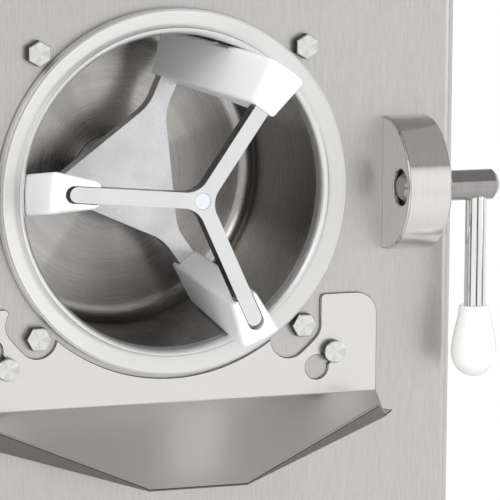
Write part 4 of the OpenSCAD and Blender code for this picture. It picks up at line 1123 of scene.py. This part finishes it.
@dataclass
class Lever(SubAssembly):
    """The locking lever: shaft, rod and knob."""

    body = "lever"
    shaft_edge: float = 0.0003
    rod_edge: float = 0.0002
    rod_x: float = 0.198
    rod_length: float = 0.078
    tenon: float = 0.00425
    knob_length: float = 0.0464
    knob_radius: float = 0.0146
    knob_chords: int = 96
    neck: float = 0.0099
    neck_break: float = 0.0003
    neck_start: float = 0.0005
    swell: float = 0.66
    swell_power: float = 1.6
    swell_steps: int = 24
    end_steps: int = 16

    def knob(self) -> None:
        """Turns the drop-shaped knob."""
        down = Axis((self.rod_x, LEVER_AXIS[1], LEVER_AXIS[2] - self.rod_length), (0.0, 0.0, -1.0))
        steps = [k / self.swell_steps for k in range(1, self.swell_steps + 1)]
        gain, tall = self.knob_radius - self.neck, self.swell * self.knob_length - self.neck_start
        side = [(self.neck + gain * math.sin(math.pi / 2 * t) ** self.swell_power, self.neck_start + tall * t)
                for t in steps]
        end = [(self.knob_radius * math.cos(turn),
                self.knob_length * (self.swell + (1 - self.swell) * math.sin(turn)))
               for turn in quarter(self.end_steps)[1:-1]]
        half = self.knob_length / 2
        profile = [(self.tenon, 0.0), (self.neck - 3 * self.neck_break, 0.0),
                   (self.neck - self.neck_break, self.neck_break / 2), *side, *end,
                   (0.0, self.knob_length), (0.0, half), (self.tenon, half)]
        self.add(lathe("knob_turned", profile, down, self.knob_chords), "lever_knob")

    def build(self) -> None:
        """Builds and dresses the lever."""
        self.copy("lever_shaft", "shaft_turned", self.shaft_edge)
        self.copy("lever_rod", "rod_polished", self.rod_edge)
        self.knob()


@dataclass
class Controls(SubAssembly):
    """The switches' frames and the inlet."""

    frame_edge: float = 0.0008
    inlet_edge: float = 0.0006

    def build(self) -> None:
        """Builds and dresses the frames and the inlet."""
        self.copy("switch_bezels", "switch_frames", self.frame_edge, 3)
        self.copy("power_inlet", "inlet_socket", self.inlet_edge)


@dataclass
class MovingControl(SubAssembly):
    """A rocker or knob that turns on a body of its own."""

    body: str = "timer_dial"
    node: str = "timer_knob"
    edge: float = 0.0007

    def build(self) -> None:
        """Builds and dresses the piece."""
        self.copy(self.node, f"{self.node}_cap", self.edge, 3)


# ---- studio


@dataclass(frozen=True)
class Lamp:
    """A soft lamp."""

    name: str
    place: Point
    power: float
    size: Pair = (1.0, 1.0)
    reflected: bool = False
    aim: Point = (0.0, 0.0, 0.4)

    def hang(self) -> None:
        """Hangs the lamp, pointed at its aim."""
        data = bpy.data.lights.new(self.name, "AREA")
        data.shape = "RECTANGLE"
        data.size, data.size_y = self.size
        data.energy = self.power
        made = link(self.name, data)
        made.location = self.place
        made.rotation_euler = (Vector(self.aim) - Vector(self.place)).to_track_quat("-Z", "Y").to_euler()
        made.visible_glossy = self.reflected


LAMPS = (
    Lamp("key", (-1.7, -1.9, 1.7), 7.0, reflected=True),
    Lamp("fill", (1.9, -1.3, 0.9), 4.0, (0.7, 1.6), reflected=True),
    Lamp("top", (0.2, 0.0, 2.2), 3.0),
    Lamp("front", (-0.6, -2.4, 0.8), 2.0),
    Lamp("low", (-0.8, -1.5, 0.08), 6.0),
)


@dataclass(frozen=True)
class Studio:
    """A pale floor, soft lamps, a white room and the camera."""

    eye: Point = (-0.9222, -2.68955, 0.7554)
    yaw: float = 21.76
    pitch: float = 7.90
    roll: float = 0.47
    lens: float = 301.1
    sensor: float = 36.0
    clip_end: float = 50.0
    floor_radius: float = 2.0
    floor_sides: int = 96
    floor_colour: Colour = (0.82, 0.82, 0.82)
    floor_tone: float = 0.02 / 0.82
    floor_specks: float = 60.0
    floor_fade: Pair = (0.55, 1.0)
    ceiling: Pair = (0.33, 0.58)
    ceiling_level: float = 0.38
    ground: Pair = (-0.65, -0.1)
    ground_level: float = 0.5
    seam_height: float = 0.50
    seam_width: float = 0.04
    screens: float = 5.0
    screen_turn: float = 3.32
    gap: Pair = (-0.92, -0.62)
    gap_level: float = 0.05
    gap_height: float = 0.15

    def camera(self) -> None:
        """Sets the camera."""
        data = bpy.data.cameras.new("camera")
        data.lens = self.lens
        data.sensor_width = self.sensor
        data.clip_end = self.clip_end
        yaw, pitch, roll = (math.radians(angle) for angle in (self.yaw, self.pitch, self.roll))
        ahead = Vector((math.sin(yaw) * math.cos(pitch), math.cos(yaw) * math.cos(pitch), -math.sin(pitch)))
        level = Vector((math.cos(yaw), -math.sin(yaw), 0.0))
        above = level.cross(ahead)
        right = math.cos(roll) * level + math.sin(roll) * above
        up = math.cos(roll) * above - math.sin(roll) * level
        made = link("camera", data)
        made.matrix_world = Matrix.Translation(self.eye) @ Matrix((right, up, -ahead)).transposed().to_4x4()
        bpy.context.scene.camera = made

    def floor(self) -> None:
        """Lays a pale floor that fades to plain white away from the machine.

        The white is for camera, glossy and transmission rays, so the lamps' light falls on a plain floor.
        """
        mesh = bmesh.new()
        bmesh.ops.create_circle(mesh, cap_ends=True, segments=self.floor_sides, radius=self.floor_radius)
        made = to_object("floor", mesh)
        surface = Surface("floor", self.floor_colour, 0.7, 0.0)
        place = surface.place()
        speck = surface.noise(place, self.floor_specks, 3.0)
        surface.put("Base Color", surface.toned(speck, self.floor_tone))
        path = surface.node("ShaderNodeLightPath").outputs
        mirrored = surface.math("MAXIMUM", path["Is Glossy Ray"], path["Is Transmission Ray"])
        seen = surface.math("MAXIMUM", path["Is Camera Ray"], mirrored)
        away = surface.remap(surface.vector("LENGTH", place), self.floor_fade, 0.0, 1.0)
        glow = surface.node("ShaderNodeEmission", {"Color": WHITE, "Strength": 1.0})
        feeds = {0: surface.math("MULTIPLY", away, seen), 1: surface.shader.outputs[0], 2: glow.outputs[0]}
        blend = surface.node("ShaderNodeMixShader", feeds)
        surface.feed(surface.tree.nodes["Material Output"].inputs["Surface"], blend.outputs[0])
        made.data.materials.append(surface.material)

    def room(self) -> None:
        """Makes the world: white, but for glossy rays, which see a room with some contrast.

        That room has white screens all round with narrow dark gaps between them near the horizon, a thin
        dark seam above them, a dimmer ceiling and a dimmer ground.
        """
        world = bpy.data.worlds.new("room")
        world.use_nodes = True
        bpy.context.scene.world = world
        graph = Graph(world.node_tree)
        x, y, z = graph.parts(graph.node("ShaderNodeTexCoord").outputs["Generated"])
        ceiling = graph.remap(z, self.ceiling, 1.0, self.ceiling_level)
        ground = graph.remap(z, self.ground, self.ground_level, 1.0)
        turn = graph.math("ARCTAN2", x, graph.math("MULTIPLY", y, -1.0))
        wave = graph.math("COSINE", graph.math("MULTIPLY_ADD", turn, self.screens, self.screen_turn))
        gaps = graph.math("MAXIMUM", graph.remap(wave, self.gap, self.gap_level, 1.0),
                          graph.remap(z, (0.0, self.gap_height), 0.0, 1.0))
        from_seam = graph.math("ABSOLUTE", graph.math("SUBTRACT", z, self.seam_height))
        seam = graph.remap(from_seam, (0.0, self.seam_width), self.gap_level, 1.0)
        up_and_down, around = graph.math("MULTIPLY", ceiling, ground), graph.math("MULTIPLY", gaps, seam)
        level = graph.math("MULTIPLY", up_and_down, around)
        glossy = graph.node("ShaderNodeLightPath").outputs["Is Glossy Ray"]
        colour = graph.mix(glossy, WHITE, graph.vector("SCALE", WHITE, scale=level))
        graph.feed(world.node_tree.nodes["Background"].inputs["Color"], colour)

    def build(self) -> None:
        """Sets the stage."""
        self.camera()
        self.floor()
        self.room()
        for lamp in LAMPS:
            lamp.hang()
        bpy.context.scene.view_settings.view_transform = "Standard"


def main() -> None:
    """Builds every sub-assembly in order and sets the stage."""
    logging.basicConfig(level=logging.INFO, format="%(name)s: %(message)s")
    for name, node in frame["nodes"].items():
        WARDROBE.dress(node, WARDROBE.slots[name])
    assemblies = [
        Cabinet(), Barrel(), Dasher(), ChuteStuds(), Chute(), GateBlocks(), Lever(), Controls(),
        MovingControl(), MovingControl("dasher_rocker", "dasher_switch"),
        MovingControl("cooling_rocker", "cooling_switch"),
    ]
    for assembly in assemblies:
        assembly.build()
    Studio().build()


if __name__ == "__main__":
    main()
